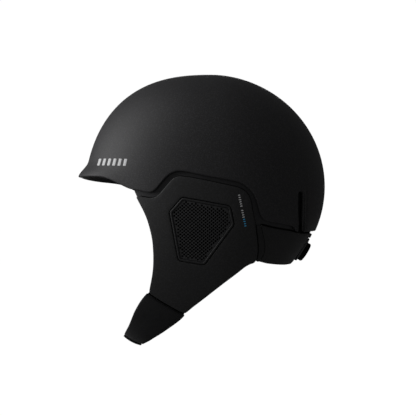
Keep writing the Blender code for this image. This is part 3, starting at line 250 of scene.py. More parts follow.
def ring_point(angle, z):
    """Point of the master surface at a plan angle (0 front, pi rear)."""
    cos, sin = np.cos(angle), np.sin(angle)
    middle, front, rear = reaches(z)
    power = 2 / SECTION_POWER
    x = half_width(z) * np.sign(sin) * np.abs(sin) ** power
    y = middle - np.where(cos > 0, front, rear) * np.sign(cos) * np.abs(cos) ** power
    return np.stack([x, y, np.broadcast_to(z, x.shape).astype(float)], -1)


def plan_angle(y, z):
    middle, reach = reach_at(y, z)
    part = np.clip((middle - y) / reach, -1, 1)
    return np.arccos(np.sign(part) * np.abs(part) ** (SECTION_POWER / 2))


def signed_angle(points):
    """Plan angle of points, negative on the right side."""
    angle = plan_angle(points[:, 1], points[:, 2])
    return np.where(points[:, 0] < 0, -angle, angle)


def side_x(y, z):
    middle, reach = reach_at(y, z)
    part = np.clip(np.abs(y - middle) / reach, 0, 1)
    return half_width(z) * (1 - part ** SECTION_POWER) ** (1 / SECTION_POWER)


def level(x, y, z):
    """1 on the surface, less inside."""
    middle, reach = reach_at(y, z)
    return ((np.abs(x) / np.maximum(half_width(z), 1e-6)) ** SECTION_POWER
            + (np.abs(y - middle) / reach) ** SECTION_POWER)


def normals(points):
    x, y, z = points[..., 0], points[..., 1], points[..., 2]
    step = np.minimum(0.05, (TOP_Z - z) / 4 + 1e-7)
    power = SECTION_POWER
    middle, reach = reach_at(y, z)
    out = np.stack([
        power * np.sign(x) * np.abs(x) ** (power - 1)
        / np.maximum(half_width(z), 1e-6) ** power,
        power * np.sign(y - middle) * np.abs(y - middle) ** (power - 1) / reach ** power,
        (level(x, y, z + step) - level(x, y, z - step)) / (2 * step)], -1)
    out[z > TOP_Z - 1e-3] = (0, 0, 1)
    return unit(out)


def below(angle, z, depth):
    """Point below the master surface."""
    point = ring_point(angle, z)
    return point - normals(point) * depth[..., None]


def fold(angle):
    """Angle from the front, the same on both sides."""
    return np.abs((np.asarray(angle) + math.pi) % (2 * math.pi) - math.pi)


def edge_height(table, angle):
    """Height of an edge curve at plan angles, from its (y, z) table."""
    ys, zs = np.array(table, float).T
    dense = np.radians(np.arange(-20, 201, SMOOTH_STEP))
    z = np.interp(np.abs(np.where(dense > math.pi, 2 * math.pi - dense, dense)),
                  plan_angle(ys, zs), zs)
    z = np.convolve(np.pad(z, 24, mode="edge"), kernel(24, 1.2), mode="valid")
    return np.interp(fold(angle), dense, z)


def brim(angle, z, edge):
    """Outward flare of the brow brim."""
    fade = smoothstep((math.radians(58) - fold(angle)) / math.radians(34))
    drop = np.clip((BRIM_TOP_Z - z) / (BRIM_TOP_Z - np.minimum(edge, 40)), 0, 1) ** 1.15
    return BRIM_OUT * fade * smoothstep(drop)


# ------------------------------------------------------------------ outlines
def arc_length(points):
    steps = np.linalg.norm(np.diff(points, axis=0), axis=1)
    return np.concatenate([[0], np.cumsum(steps)])


def at_length(want, along, points):
    return np.stack([np.interp(want, along, column) for column in points.T], -1)


def resample(points, spacing, fewest):
    """Evenly spaced points round a closed loop."""
    closed = np.vstack([points, points[:1]])
    along = arc_length(closed)
    keep = np.concatenate([[True], np.diff(along) > 1e-9])
    along, closed = along[keep], closed[keep]
    count = max(fewest, int(round(along[-1] / spacing)))
    return at_length(np.arange(count) * along[-1] / count, along, closed)


def smooth_loop(corners, radius, spacing):
    """Closed polygon with arcs for corners and evenly spaced points."""
    corners = [Vector(corner) for corner in corners]
    out = []
    for i, corner in enumerate(corners):
        back, ahead = corners[i - 1] - corner, corners[(i + 1) % len(corners)] - corner
        back_len, ahead_len = back.length, ahead.length
        half = math.acos(back.dot(ahead) / (back_len * ahead_len)) / 2
        cut = min(radius / math.tan(half), back_len * 0.45, ahead_len * 0.45)
        fitted = cut * math.tan(half)
        start, end = corner + back / back_len * cut, corner + ahead / ahead_len * cut
        centre = corner + ((back / back_len + ahead / ahead_len).normalized()
                           * (fitted / math.sin(half)))
        arm, last = start - centre, end - centre
        sweep = math.atan2(arm.x * last.y - arm.y * last.x, arm.dot(last))
        steps = max(2, int(abs(sweep) / 0.35) + 1)
        for k in range(steps + 1):
            cos, sin = math.cos(sweep * k / steps), math.sin(sweep * k / steps)
            out.append(centre + Vector((arm.x * cos - arm.y * sin,
                                        arm.x * sin + arm.y * cos)))
    return resample(np.array([tuple(point) for point in out]), spacing, 12)


def soft_loop(points, corner, spacing, gentle=60.0):
    """Closed outline whose shallow bends, over 142 degrees, become flowing curves."""
    points = np.asarray(points, float)
    out = []
    for i, point in enumerate(points):
        back, ahead = points[i - 1] - point, points[(i + 1) % len(points)] - point
        back_len, ahead_len = np.linalg.norm(back), np.linalg.norm(ahead)
        angle = math.degrees(math.acos(np.clip(back @ ahead / (back_len * ahead_len), -1, 1)))
        if angle > 178.5:
            out.append(point)
            continue
        radius = gentle if angle > 142.0 else corner
        half = math.radians(angle) / 2
        cut = min(radius / math.tan(half), back_len * 0.48, ahead_len * 0.48)
        start, end = point + back / back_len * cut, point + ahead / ahead_len * cut
        for t in np.linspace(0, 1, 9):
            weight = np.array([(1 - t) ** 2, 2 * math.sin(half) * t * (1 - t), t * t])
            out.append((weight[0] * start + weight[1] * point + weight[2] * end)
                       / weight.sum())
    return resample(np.array(out), spacing, 24)


def circle(radius, count):
    return np.array([(radius * math.cos(2 * math.pi * k / count),
                      radius * math.sin(2 * math.pi * k / count)) for k in range(count)])


def ccw(loop):
    x, y = loop[:, 0], loop[:, 1]
    area = np.sum(x * np.roll(y, -1) - y * np.roll(x, -1))
    return loop if area > 0 else loop[::-1]


def inset(loop, distance):
    """Move a counter-clockwise loop inwards."""
    way = unit(np.roll(loop, -1, 0) - np.roll(loop, 1, 0))
    return loop + np.stack([-way[:, 1], way[:, 0]], -1) * distance


def within(loop, points):
    x, y = points[:, 0], points[:, 1]
    hit = np.zeros(len(points), bool)
    for (x0, y0), (x1, y1) in zip(loop, np.roll(loop, -1, 0)):
        if y1 != y0:
            cross = (y0 > y) != (y1 > y)
            hit ^= cross & (x < (x1 - x0) * (y - y0) / (y1 - y0) + x0)
    return hit


# --------------------------------------------------------------- mesh shapes
# A shape is a pair of vertices in design millimetres and faces.
def grid_faces(rows, cols, wrap=False):
    row = np.arange(rows - 1)[:, None]
    col = np.arange(cols if wrap else cols - 1)[None, :]
    beside = (col + 1) % cols
    return np.stack(np.broadcast_arrays(row * cols + col, (row + 1) * cols + col,
                                        (row + 1) * cols + beside, row * cols + beside),
                    -1).reshape(-1, 4)


def loop_quads(first, second, flip=False):
    """Quads between two closed loops of vertex numbers."""
    quads = np.stack([first, second, np.roll(second, -1), np.roll(first, -1)], -1)
    return quads[:, [0, 3, 2, 1]] if flip else quads


def capped_tube(rings):
    """Closed body through rings of points, an array (ring, point, xyz)."""
    rings = np.asarray(rings)
    rows, count = rings.shape[:2]
    faces = list(grid_faces(rows, count, True))
    faces += [range(count), range(rows * count - 1, (rows - 1) * count - 1, -1)]
    return rings.reshape(-1, 3), faces


def merged(shapes):
    verts, faces = [], []
    for points, polygons in shapes:
        start = len(verts)
        verts += list(points)
        faces += [[start + i for i in polygon] for polygon in polygons]
    return verts, faces


def loop_starts(sizes):
    return np.cumsum([0] + sizes[:-1]).tolist()


def loop_edges(sizes):
    return [(base + i, base + (i + 1) % size)
            for base, size in zip(loop_starts(sizes), sizes) for i in range(size)]


def triangulate(points, edges):
    """Triangles between points that respect the edges."""
    _, _, faces, origin, _, _ = delaunay_2d_cdt(
        [Vector(point) for point in points], edges, [], 0, 1e-7)
    source = np.array([old[0] for old in origin])
    return source[np.array([tuple(face) for face in faces])]


def fill(loops, step):
    """Triangulate inside the first loop and outside the others.

    The loops' own points come first, in order, then a grid of inner points.
    """
    outer, holes = loops[0], loops[1:]
    rim = np.vstack(loops)
    edges = loop_edges([len(loop) for loop in loops])
    low, high = outer.min(0), outer.max(0)
    grid = np.array([(x, y) for j, y in enumerate(np.arange(low[1], high[1], step * 0.87))
                     for x in np.arange(low[0] + (j % 2) * step / 2, high[0], step)])
    near = np.min(np.linalg.norm(grid[:, None] - rim[None], axis=2), axis=1)
    keep = within(outer, grid) & (near > step * 0.55)
    for hole in holes:
        keep &= ~within(hole, grid)
    points = np.vstack([rim, grid[keep]])
    triangles = triangulate(points, edges)
    # Patches of triangles between the loops, kept or dropped as a whole by
    # testing the middle of the largest triangle of each.
    walls = {frozenset(edge) for edge in edges}
    sides = [[frozenset(pair) for pair in ((a, b), (b, c), (c, a))]
             for a, b, c in triangles.tolist()]
    beside = {}
    for number, own in enumerate(sides):
        for edge in own:
            beside.setdefault(edge, []).append(number)
    seen = set()
    kept = []
    for first in range(len(sides)):
        if first in seen:
            continue
        seen.add(first)
        members, todo = [], [first]
        while todo:
            number = todo.pop()
            members.append(number)
            for edge in sides[number]:
                if edge not in walls:
                    fresh = [other for other in beside[edge] if other not in seen]
                    seen.update(fresh)
                    todo += fresh
        corners = points[triangles[members]]
        one, two = corners[:, 1] - corners[:, 0], corners[:, 2] - corners[:, 0]
        area = np.abs(one[:, 0] * two[:, 1] - one[:, 1] * two[:, 0])
        middle = corners[int(np.argmax(area))].mean(0)[None]
        if (area.max() > 0.02 and within(outer, middle)[0]
                and not any(within(hole, middle)[0] for hole in holes)):
            kept += members
    return points, triangles[sorted(kept)]


def plate(put, outer, holes, levels, step):
    """Solid from stacked outlines; levels are (inset, depth), outer face first.

    put maps flat points and a depth to space; step spaces the inner points.
    """
    outer = ccw(np.array(outer, float))
    holes = [ccw(np.array(hole, float)) for hole in holes]
    sizes = [len(loop) for loop in [outer] + holes]
    verts, faces = [], []
    last = len(levels) - 1
    before = 0
    for number, (shrink, depth) in enumerate(levels):
        loops = [inset(outer, shrink)] + [inset(hole, -shrink) for hole in holes]
        if number in (0, last):
            points, triangles = fill(loops, step)
        else:
            points = np.vstack(loops)
        start = len(verts)
        verts += list(put(points, np.full(len(points), depth)))
        if number == 0:
            faces += list(triangles)
            continue
        for base, size in zip(loop_starts(sizes), sizes):
            ids = base + np.arange(size)
            faces += list(loop_quads(before + ids, start + ids, flip=True))
        if number == last:
            faces += list(triangles[:, ::-1] + start)
        before = start
    return np.array(verts), faces


def perforated(put, outer, centres, radius, top, bottom):
    """Plate with many small round holes with chamfered mouths."""
    per_hole = 10
    ring = circle(1.0, per_hole)
    outer = ccw(outer)
    rim = len(outer)
    layers = [(0.35, radius + 0.1, top), (0.0, radius, top + 0.2), (0.0, radius, bottom)]
    flats = [np.vstack([inset(outer, shrink)] + [centre + ring * size for centre in centres])
             for shrink, size, _ in layers]
    count = len(flats[0])
    verts = np.vstack([put(flat, np.full(count, layer[2]))
                       for flat, layer in zip(flats, layers)])
    sizes = [rim] + [per_hole] * len(centres)
    triangles = triangulate(flats[0], loop_edges(sizes))
    owner = np.repeat(np.arange(-1, len(centres)), sizes)[triangles]
    in_hole = ((owner[:, 0] == owner[:, 1]) & (owner[:, 1] == owner[:, 2])
               & (owner[:, 0] >= 0))
    middles = flats[0][triangles].mean(1)
    triangles = triangles[~in_hole & within(inset(outer, 0.33), middles)]
    faces = list(triangles) + list(triangles[:, ::-1] + 2 * count)
    for layer in (0, 1):
        for base, size in zip(loop_starts(sizes), sizes):
            ids = layer * count + base + np.arange(size)
            faces += list(loop_quads(ids, ids + count, flip=True))
    return verts, faces


def rounded_sheet(place, cols, rows, rings, half_long, half_high, corner=0.0):
    """Closed pad or strap: place(across, down, depth), both from -1 to 1.

    rings are (inset mm, depth) from the outer face round the edge to the
    inner face; the half sizes in mm scale the insets.
    """
    across, down = np.meshgrid(np.linspace(-1, 1, cols), np.linspace(-1, 1, rows))

    def at(shrink, depth):
        u, v = across * (1 - shrink / half_long), down * (1 - shrink / half_high)
        u, v = u * np.sqrt(1 - corner * v * v / 2), v * np.sqrt(1 - corner * u * u / 2)
        depth = depth(across, down) if callable(depth) else depth * np.ones(u.shape)
        return place(u, v, depth).reshape(-1, 3)

    ids = np.arange(cols * rows).reshape(rows, cols)
    rim = np.concatenate([ids[0, :], ids[1:, -1], ids[-1, -2::-1], ids[-2:0:-1, 0]])
    verts = [at(*rings[0])]
    faces = [grid_faces(rows, cols)]
    before, total = rim, cols * rows
    for ring in rings[1:-1]:
        verts.append(at(*ring)[rim])
        new = np.arange(total, total + len(rim))
        total += len(rim)
        faces.append(loop_quads(before, new))
        before = new
    verts.append(at(*rings[-1]))
    faces.append(loop_quads(before, total + rim))
    faces.append(grid_faces(rows, cols)[:, ::-1] + total)
    return np.vstack(verts), np.vstack(faces)


def cushion(base, rise, across_power=4):
    """Depth rule of a crowned inner face."""
    def depth(across, down):
        return base + rise * ((1 - across ** across_power) * (1 - down ** 4)) ** 0.5
    return depth


# ------------------------------------------------------------- mesh objects
def to_frame(points):
    return (np.asarray(points, float) - ORIGIN) * MM


def piece(name, shape, mat, sharp=None):
    """Mesh object from a shape, welded, with outward normals."""
    name = "look_" + name
    verts, faces = shape
    mesh = bpy.data.meshes.new(name)
    mesh.from_pydata(to_frame(verts).tolist(), [],
                     [tuple(int(i) for i in face) for face in faces])
    ob = bpy.data.objects.new(name, mesh)
    bpy.context.scene.collection.objects.link(ob)
    bm = bmesh.new()
    bm.from_mesh(mesh)
    bmesh.ops.remove_doubles(bm, verts=bm.verts, dist=2e-6)
    bmesh.ops.recalc_face_normals(bm, faces=bm.faces)
    bm.to_mesh(mesh)
    bm.free()
    dress(ob, MATS[mat], sharp)
    return ob


def dress(ob, material, sharp=None):
    mesh = ob.data
    mesh.shade_smooth()
    if sharp:
        mesh.set_sharp_from_angle(angle=math.radians(sharp))
    mesh.materials.clear()
    mesh.materials.append(material)


def bake(ob):
    """Apply the object's modifiers."""
    bpy.context.view_layer.update()
    graph = bpy.context.evaluated_depsgraph_get()
    mesh = bpy.data.meshes.new_from_object(ob.evaluated_get(graph))
    ob.modifiers.clear()
    old = ob.data
    ob.data = mesh
    mesh.name = ob.name
    if old.users == 0:
        bpy.data.meshes.remove(old)
    mesh.shade_smooth()


def carve(ob, shape, sharp):
    """Cut a shape out of the object."""
    material = ob.data.materials[0]
    cutter = piece("cutter", shape, "shell")
    mod = ob.modifiers.new("carve", "BOOLEAN")
    mod.operation, mod.solver, mod.object = "DIFFERENCE", "EXACT", cutter
    bake(ob)
    mesh = cutter.data
    bpy.data.objects.remove(cutter)
    bpy.data.meshes.remove(mesh)
    dress(ob, material, sharp)


def coords(ob):
    out = np.zeros(len(ob.data.vertices) * 3)
    ob.data.vertices.foreach_get("co", out)
    return out.reshape(-1, 3)


def set_coords(ob, points):
    ob.data.vertices.foreach_set("co", np.asarray(points, np.float32).ravel())
    ob.data.update()


def design(ob):
    return coords(ob) / MM + ORIGIN


def set_design(ob, points):
    set_coords(ob, to_frame(points))


CLOTH = {"quality": 5, "mass": 0.2, "use_pressure": True, "uniform_pressure_force": 4.0,
         "tension_stiffness": 12, "compression_stiffness": 12, "bending_stiffness": 0.6}
CLOTH_FRAMES = 18


def plump(ob, voxel, cap, hold=None):
    """Blow a fabric form up with cloth simulation and keep the result.

    voxel is the cloth's grid and cap the furthest any point moves, in mm;
    hold(points) picks the points that stay pinned.
    """
    material = ob.data.materials[0]
    remesh = ob.modifiers.new("even", "REMESH")
    remesh.mode, remesh.voxel_size = "VOXEL", voxel * MM
    bake(ob)
    rest = coords(ob)
    scene = bpy.context.scene
    cloth = ob.modifiers.new("cloth", "CLOTH")
    for key, value in CLOTH.items():
        setattr(cloth.settings, key, value)
    cloth.settings.effector_weights.gravity = 0.0
    if hold is not None:
        group = ob.vertex_groups.new(name="hold")
        group.add(np.flatnonzero(hold(design(ob))).tolist(), 1.0, "REPLACE")
        cloth.settings.vertex_group_mass = "hold"
    cache = cloth.point_cache
    cache.frame_start, cache.frame_end = 1, CLOTH_FRAMES
    for number in range(1, CLOTH_FRAMES + 1):
        scene.frame_set(number)
    graph = bpy.context.evaluated_depsgraph_get()
    move = np.nan_to_num(coords(ob.evaluated_get(graph)) - rest)
    size = np.linalg.norm(move, axis=1, keepdims=True)
    move *= np.minimum(1, cap * MM / np.maximum(size, 1e-9))
    ob.modifiers.clear()
    ob.vertex_groups.clear()
    scene.frame_set(1)
    set_coords(ob, rest + move)
    smooth = ob.modifiers.new("smooth", "SMOOTH")
    smooth.factor, smooth.iterations = 0.5, 3
    finer = ob.modifiers.new("fine", "SUBSURF")
    finer.levels = finer.render_levels = 1
    bake(ob)
    dress(ob, material)


def done(ob, body, slot, *nodes):
    """Fix a piece to its moving body and hide the frame parts it replaces; slot is not used."""
    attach(ob, body)
    label(ob, slot, *nodes)


def label(ob, slot, *nodes):
    if nodes:
        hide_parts(*nodes)


def add(name, shape, mat, body, slot, *nodes, sharp=None):
    done(piece(name, shape, mat, sharp), body, slot, *nodes)


# ---------------------------------------------------------------- materials
MATS = {}
INPUTS = {"color": "Base Color", "rough": "Roughness", "metal": "Metallic",
          "sheen": "Sheen Weight", "sheen_rough": "Sheen Roughness",
          "spec": "Specular IOR Level", "normal": "Normal"}


class Shader:
    """Small helper to write a shader as a few short lines; sizes are in mm."""

    def __init__(self, name):
        material = bpy.data.materials.new("look_" + name)
        material.use_nodes = True
        self.tree = material.node_tree
        self.bsdf = self.tree.nodes["Principled BSDF"]
        self.place = self.tree.nodes.new("ShaderNodeTexCoord").outputs["Object"]
        MATS[name] = material

    def feed(self, socket, value):
        """Link a socket or set its value."""
        if hasattr(value, "is_output"):
            self.tree.links.new(value, socket)
        elif socket.type == "RGBA":
            socket.default_value = (*value, 1.0)
        else:
            socket.default_value = value

    def new(self, kind, inputs, **props):
        node = self.tree.nodes.new("ShaderNode" + kind)
        for key, value in props.items():
            setattr(node, key, value)
        for key, value in inputs.items():
            self.feed(node.inputs[key], value)
        return node

    def noise(self, mm, detail=2.0, rough=0.5, vector=None):
        return self.new("TexNoise", {"Vector": vector or self.place, "Scale": 1000.0 / mm,
                                     "Detail": detail, "Roughness": rough}).outputs["Fac"]

    def cells(self, mm, feature="F1"):
        return self.new("TexVoronoi", {"Vector": self.place, "Scale": 1000.0 / mm},
                        feature=feature).outputs["Distance"]

    def wave(self, mm, direction, turn):
        """Stripes of a given pitch, turned by degrees about each axis."""
        return self.new("TexWave", {"Vector": self.turned(turn),
                                    "Scale": 1000.0 / mm * 2 * math.pi / 20},
                        bands_direction=direction).outputs["Fac"]

    def turned(self, degrees, scale=(1, 1, 1)):
        return self.new("Mapping", {"Vector": self.place,
                                    "Rotation": tuple(math.radians(v) for v in degrees),
                                    "Scale": scale}).outputs["Vector"]

    def math(self, operation, first, second):
        return self.new("Math", {0: first, 1: second, 2: 0.0}, operation=operation).outputs[0]

    def times(self, first, second):
        return self.math("MULTIPLY", first, second)

    def plus(self, first, second):
        return self.math("ADD", first, second)

    def span(self, value, over, to=(0.0, 1.0)):
        """Map a range of values to another."""
        return self.new("MapRange", {"Value": value, "From Min": over[0], "From Max": over[1],
                                     "To Min": to[0], "To Max": to[1]}).outputs["Result"]

    def mix(self, share, first, second):
        return self.new("Mix", {0: share, 6: first, 7: second}, data_type="RGBA").outputs[2]

    def bump(self, height, mm, strength, **normal):
        inputs = {"Height": height, "Distance": mm * MM, "Strength": strength}
        if normal:
            inputs["Normal"] = normal["normal"]
        return self.new("Bump", inputs).outputs["Normal"]

    def set(self, **values):
        for key, value in values.items():
            self.feed(self.bsdf.inputs[INPUTS[key]], value)


def shade(colour, factor):
    return tuple(value * factor for value in colour)


# Name, base and speck colours, roughness, grain mm, bump mm, edge wear, extras.
SOFT_TOUCH = [
    ("shell", (0.0204, 0.0200, 0.0218), (0.056, 0.055, 0.0595), 0.60, 0.68, 0.045, 0.30,
     {"blotch": 0.12}),
    ("flap", (0.017, 0.017, 0.018), (0.040, 0.040, 0.042), 0.62, 0.8, 0.045, 0.35, {}),
    ("panel", (0.015, 0.015, 0.016), (0.034, 0.034, 0.036), 0.60, 0.8, 0.05, 0.30, {}),
    # The lip row is near-black and dull: painted shade for the strips in shadowed gaps (rear
    # panel lip, flap gap strip, dial core, chin lips).
    ("lip", (0.003, 0.003, 0.003), (0.005, 0.005, 0.005), 0.95, 0.9, 0.02, 0.10,
     {"spec": 0.12}),
    ("trim", (0.023, 0.023, 0.025), (0.032, 0.032, 0.035), 0.58, 1.2, 0.015, 0.20, {}),
    ("frame", (0.015, 0.015, 0.016), (0.028, 0.028, 0.030), 0.60, 0.9, 0.03, 0.40, {}),
    ("mesh", (0.027, 0.027, 0.0285), (0.041, 0.041, 0.043), 0.58, 0.6, 0.03, 0.45, {}),
    ("dial", (0.0022, 0.0022, 0.0024), (0.004, 0.004, 0.0042), 0.62, 0.7, 0.02, 0.08,
     {"spec": 0.2}),
    # The rib row is the trim's colour darkened: painted shade for the trim rib in front of the
    # rear panel.
    ("rib", (0.011, 0.011, 0.012), (0.016, 0.016, 0.017), 0.60, 0.8, 0.02, 0.15, {}),
    ("housing", (0.085, 0.085, 0.09), (0.115, 0.115, 0.12), 0.50, 0.8, 0.03, 0.25,
     {"tint": (0.13, 0.13, 0.135)}),
    ("band", (0.015, 0.015, 0.016), (0.022, 0.022, 0.024), 0.48, 0.8, 0.02, 0.25, {}),
]
# Name, base and rib colours, rib pitch mm, roughness, bump mm, sheen.
KNITS = [
    ("pad", (0.011, 0.011, 0.012), (0.026, 0.026, 0.028), 1.1, 0.92, 0.12, 0.35),
    ("neoprene", (0.0160, 0.0160, 0.0172), (0.0370, 0.0370, 0.0395), 0.85, 0.86, 0.07, 0.06),
    ("patch", (0.0085, 0.0085, 0.0094), (0.0195, 0.0195, 0.0215), 0.85, 0.88, 0.07, 0.05),
    # The next row is a near-black knit: painted shade for the ear pad's web seen through the
    # vent holes.
    ("binding", (0.003, 0.003, 0.0032), (0.007, 0.007, 0.0075), 0.6, 0.90, 0.08, 0.05),
]
# Name, then the two colours of the printed grain.
PRINTS = [("mark_white", (0.72, 0.72, 0.73), (0.86, 0.86, 0.87)),
          ("mark_blue", (0.05, 0.40, 0.74), (0.08, 0.52, 0.90))]


def soft_touch(name, base, light, rough, grain_mm, bump_mm, wear,
               tint=(0.10, 0.10, 0.105), spec=0.5, blotch=0.28):
    """Soft-touch paint: fine grain, faint mottle, paler edges."""
    s = Shader(name)
    grain = s.noise(grain_mm, detail=3.0, rough=0.7)
    speck = s.span(s.noise(grain_mm * 1.7, detail=1.0, rough=0.4), over=(0.45, 0.70))
    mottle = s.noise(38.0, detail=3.0, rough=0.55)
    colour = s.mix(s.times(speck, 0.55), base, light)
    colour = s.mix(s.span(mottle, over=(0.35, 0.7), to=(0.0, blotch)), colour,
                   shade(base, 0.72))
    scuffs = s.span(s.noise(7.0, detail=6.0, rough=0.7,
                            vector=s.turned((20, 35, 10), scale=(1, 3.5, 1))),
                    over=(0.60, 0.78))
    # Pointiness is high on convex edges.
    edges = s.span(s.new("NewGeometry", {}).outputs["Pointiness"], over=(0.52, 0.60))
    worn = s.times(edges, s.plus(s.times(scuffs, 0.6), 0.4))
    s.set(color=s.mix(s.times(worn, wear), colour, tint), spec=spec,
          rough=s.plus(s.span(grain, over=(0.3, 0.7), to=(rough - 0.05, rough + 0.05)),
                       s.times(scuffs, -0.05)),
          normal=s.bump(grain, mm=bump_mm, strength=0.9))


def knit(name, base, light, pitch, rough, bump_mm, sheen):
    """Fine jersey knit face: crossed ribs with fuzz between them."""
    s = Shader(name)
    one = s.wave(pitch, "X", turn=(0, 38, 24))
    two = s.wave(pitch * 0.8, "Z", turn=(18, 0, -31))
    three = s.wave(pitch, "Y", turn=(-27, 15, 0))
    weave = s.times(s.math("MAXIMUM", one, two), s.plus(s.times(three, 0.5), 0.5))
    fuzz = s.noise(0.5, detail=4.0, rough=0.75)
    height = s.plus(weave, s.times(fuzz, 0.5))
    mottle = s.noise(24.0, detail=4.0, rough=0.6)
    colour = s.mix(s.times(weave, 0.6), base, light)
    colour = s.mix(s.span(mottle, over=(0.3, 0.75), to=(0.0, 0.45)), colour, shade(base, 0.6))
    waves = s.bump(s.noise(6.0, detail=3.0), mm=0.35, strength=0.5)
    s.set(color=colour, sheen=sheen, sheen_rough=0.45, spec=0.25,
          rough=s.span(fuzz, over=(0.2, 0.8), to=(rough - 0.08, min(1.0, rough + 0.05))),
          normal=s.bump(height, mm=bump_mm, strength=0.8, normal=waves))


def foam():
    """Closed-cell foam: small round cells and shallow pits."""
    s = Shader("foam")
    cell = s.cells(0.9)
    pits = s.span(s.cells(3.2), over=(0.0, 0.35))
    colour = s.mix(cell, (0.010, 0.010, 0.011), (0.026, 0.026, 0.028))
    colour = s.mix(s.span(s.noise(30, detail=3), over=(0.35, 0.7), to=(0, 0.4)), colour,
                   (0.013, 0.013, 0.014))
    s.set(color=colour, rough=s.span(cell, over=(0, 1), to=(0.80, 0.95)), spec=0.3,
          normal=s.bump(s.plus(cell, s.times(pits, 0.5)), mm=0.18, strength=0.8))


def tape():
    """Hook and loop tape: dense short pile in rows."""
    s = Shader("tape")
    pile = s.cells(0.75, "SMOOTH_F1")
    rows = s.wave(1.5, "Z", turn=(0, 12, 0))
    colour = s.mix(pile, (0.022, 0.022, 0.022), (0.006, 0.006, 0.006))
    s.set(color=s.mix(s.times(rows, 0.4), colour, (0.028, 0.028, 0.028)), rough=0.92,
          sheen=0.4, spec=0.3,
          normal=s.bump(s.plus(s.times(pile, -1.0), s.times(rows, 0.5)),
                        mm=0.35, strength=0.9))


def thread():
    """Sewing thread: twisted highlights."""
    s = Shader("thread")
    twist = s.wave(0.5, "DIAGONAL", turn=(30, 10, 20))
    s.set(color=s.mix(twist, (0.010, 0.010, 0.011), (0.035, 0.035, 0.038)), rough=0.65,
          sheen=0.2, normal=s.bump(twist, mm=0.08, strength=0.9))


def steel():
    """Brushed stainless steel."""
    s = Shader("steel")
    brushed = s.noise(1.2, detail=5.0, rough=0.7, vector=s.turned((0, 0, 0), scale=(1, 14, 1)))
    s.set(color=s.mix(brushed, (0.42, 0.42, 0.43), (0.62, 0.62, 0.63)), metal=1.0,
          rough=s.span(brushed, over=(0.2, 0.8), to=(0.26, 0.42)),
          normal=s.bump(brushed, mm=0.02, strength=0.6))


def printed(name, low, high):
    """Printed mark with small dark chips."""
    s = Shader(name)
    grain = s.noise(0.6, detail=3.0, rough=0.7)
    chips = s.span(s.noise(1.6, detail=4.0, rough=0.7), over=(0.64, 0.70), to=(0.0, 0.35))
    s.set(color=s.mix(chips, s.mix(grain, low, high), (0.10, 0.10, 0.10)), rough=0.55,
          normal=s.bump(grain, mm=0.02, strength=0.6))


def make_materials():
    for *row, extras in SOFT_TOUCH:
        soft_touch(*row, **extras)
    for row in KNITS:
        knit(*row)
    foam()
    tape()
    thread()
    steel()
    for row in PRINTS:
        printed(*row)


# ----------------------------------------------------------- shell and liner
def shell_surface(angle, z, edge):
    """The master surface with the brow brim's flare."""
    point = ring_point(angle, z)
    outward = unit(normals(point) * (1, 1, 0))
    return point + outward * brim(angle, z, edge)[..., None]


def shell_normal(angle, z, edge):
    plain = normals(ring_point(angle, z))
    step = np.minimum(0.06, (TOP_Z - z) / 4 + 1e-7)
    around = shell_surface(angle + 2e-3, z, edge) - shell_surface(angle - 2e-3, z, edge)
    upward = shell_surface(angle, z + step, edge) - shell_surface(angle, z - step, edge)
    flared = unit(np.cross(around, upward))
    flared *= np.sign(np.sum(flared * plain, -1, keepdims=True))
    share = np.clip(brim(angle, z, edge), 0, 1)[..., None]
    return unit(plain * (1 - share) + flared * share)


def edge_columns(table, spacing, fine=None, lift=0.0):
    """Plan angles evenly spaced along an edge; fine is (y from, y to, spacing)."""
    angle = np.radians(np.linspace(0, 180, 2881))
    point = ring_point(angle, edge_height(table, angle) + lift)
    steps = np.linalg.norm(np.diff(point, axis=0), axis=1)
    gap = np.full(len(angle), spacing, float)
    if fine:
        gap = np.where((point[:, 1] > fine[0]) & (point[:, 1] < fine[1]), fine[2], gap)
    along = np.concatenate([[0], np.cumsum(steps / ((gap[1:] + gap[:-1]) / 2))])
    count = int(round(along[-1]))
    half = np.interp(np.linspace(0, along[-1], count + 1), along, angle)
    return np.concatenate([half, (2 * math.pi - half[1:-1])[::-1]])


def arc_rows(parts, depth):
    """Profile rows from the top (0) to the edge (1)."""
    return [("arc", part, depth) for part in parts]


def lift_rows(*rows):
    """Profile rows of (height above the edge, depth)."""
    return [("lift", *row) for row in rows]


def dome(cols, table, profile, lift, flare, relief):
    """Shell of revolution-like rows; relief(points, depths) adjusts the depths."""
    edge = edge_height(table, cols) + lift
    rows = []
    for kind, value, depth in profile:
        z = (edge + (TOP_Z - edge) * math.cos(value * math.pi / 2) if kind == "arc"
             else edge + value)
        if flare:
            point, normal = shell_surface(cols, z, edge), shell_normal(cols, z, edge)
        else:
            point = ring_point(cols, z)
            normal = normals(point)
        depths = relief(point, np.full(len(cols), float(depth)))
        rows.append(point - normal * depths[:, None])
    return np.array(rows).reshape(-1, 3), grid_faces(len(rows), len(cols), True)


def side_map(side):
    """Maps (y, z) and a depth to the left (1) or right (-1) side."""
    def put(flat, depth):
        flat = np.asarray(flat, float)
        point = np.stack([side_x(flat[:, 0], flat[:, 1]), flat[:, 0], flat[:, 1]], -1)
        point = point - normals(point) * np.reshape(depth, (-1, 1))
        point[:, 0] *= side
        return point
    return put


def slot_outline():
    """Upright slot near the rear of the shell's side, with a round top."""
    line = [(87.2, -40.0), (91.0, -40.0), (91.3, -8.0), (91.3, 12.2)]
    line += [(88.7 + 2.6 * math.cos(t), 12.4 + 2.4 * math.sin(t))
             for t in np.linspace(0.15, math.pi - 0.15, 14)]
    return np.array(line + [(86.1, 12.2), (86.2, -2.0), (87.2, -15.0)])


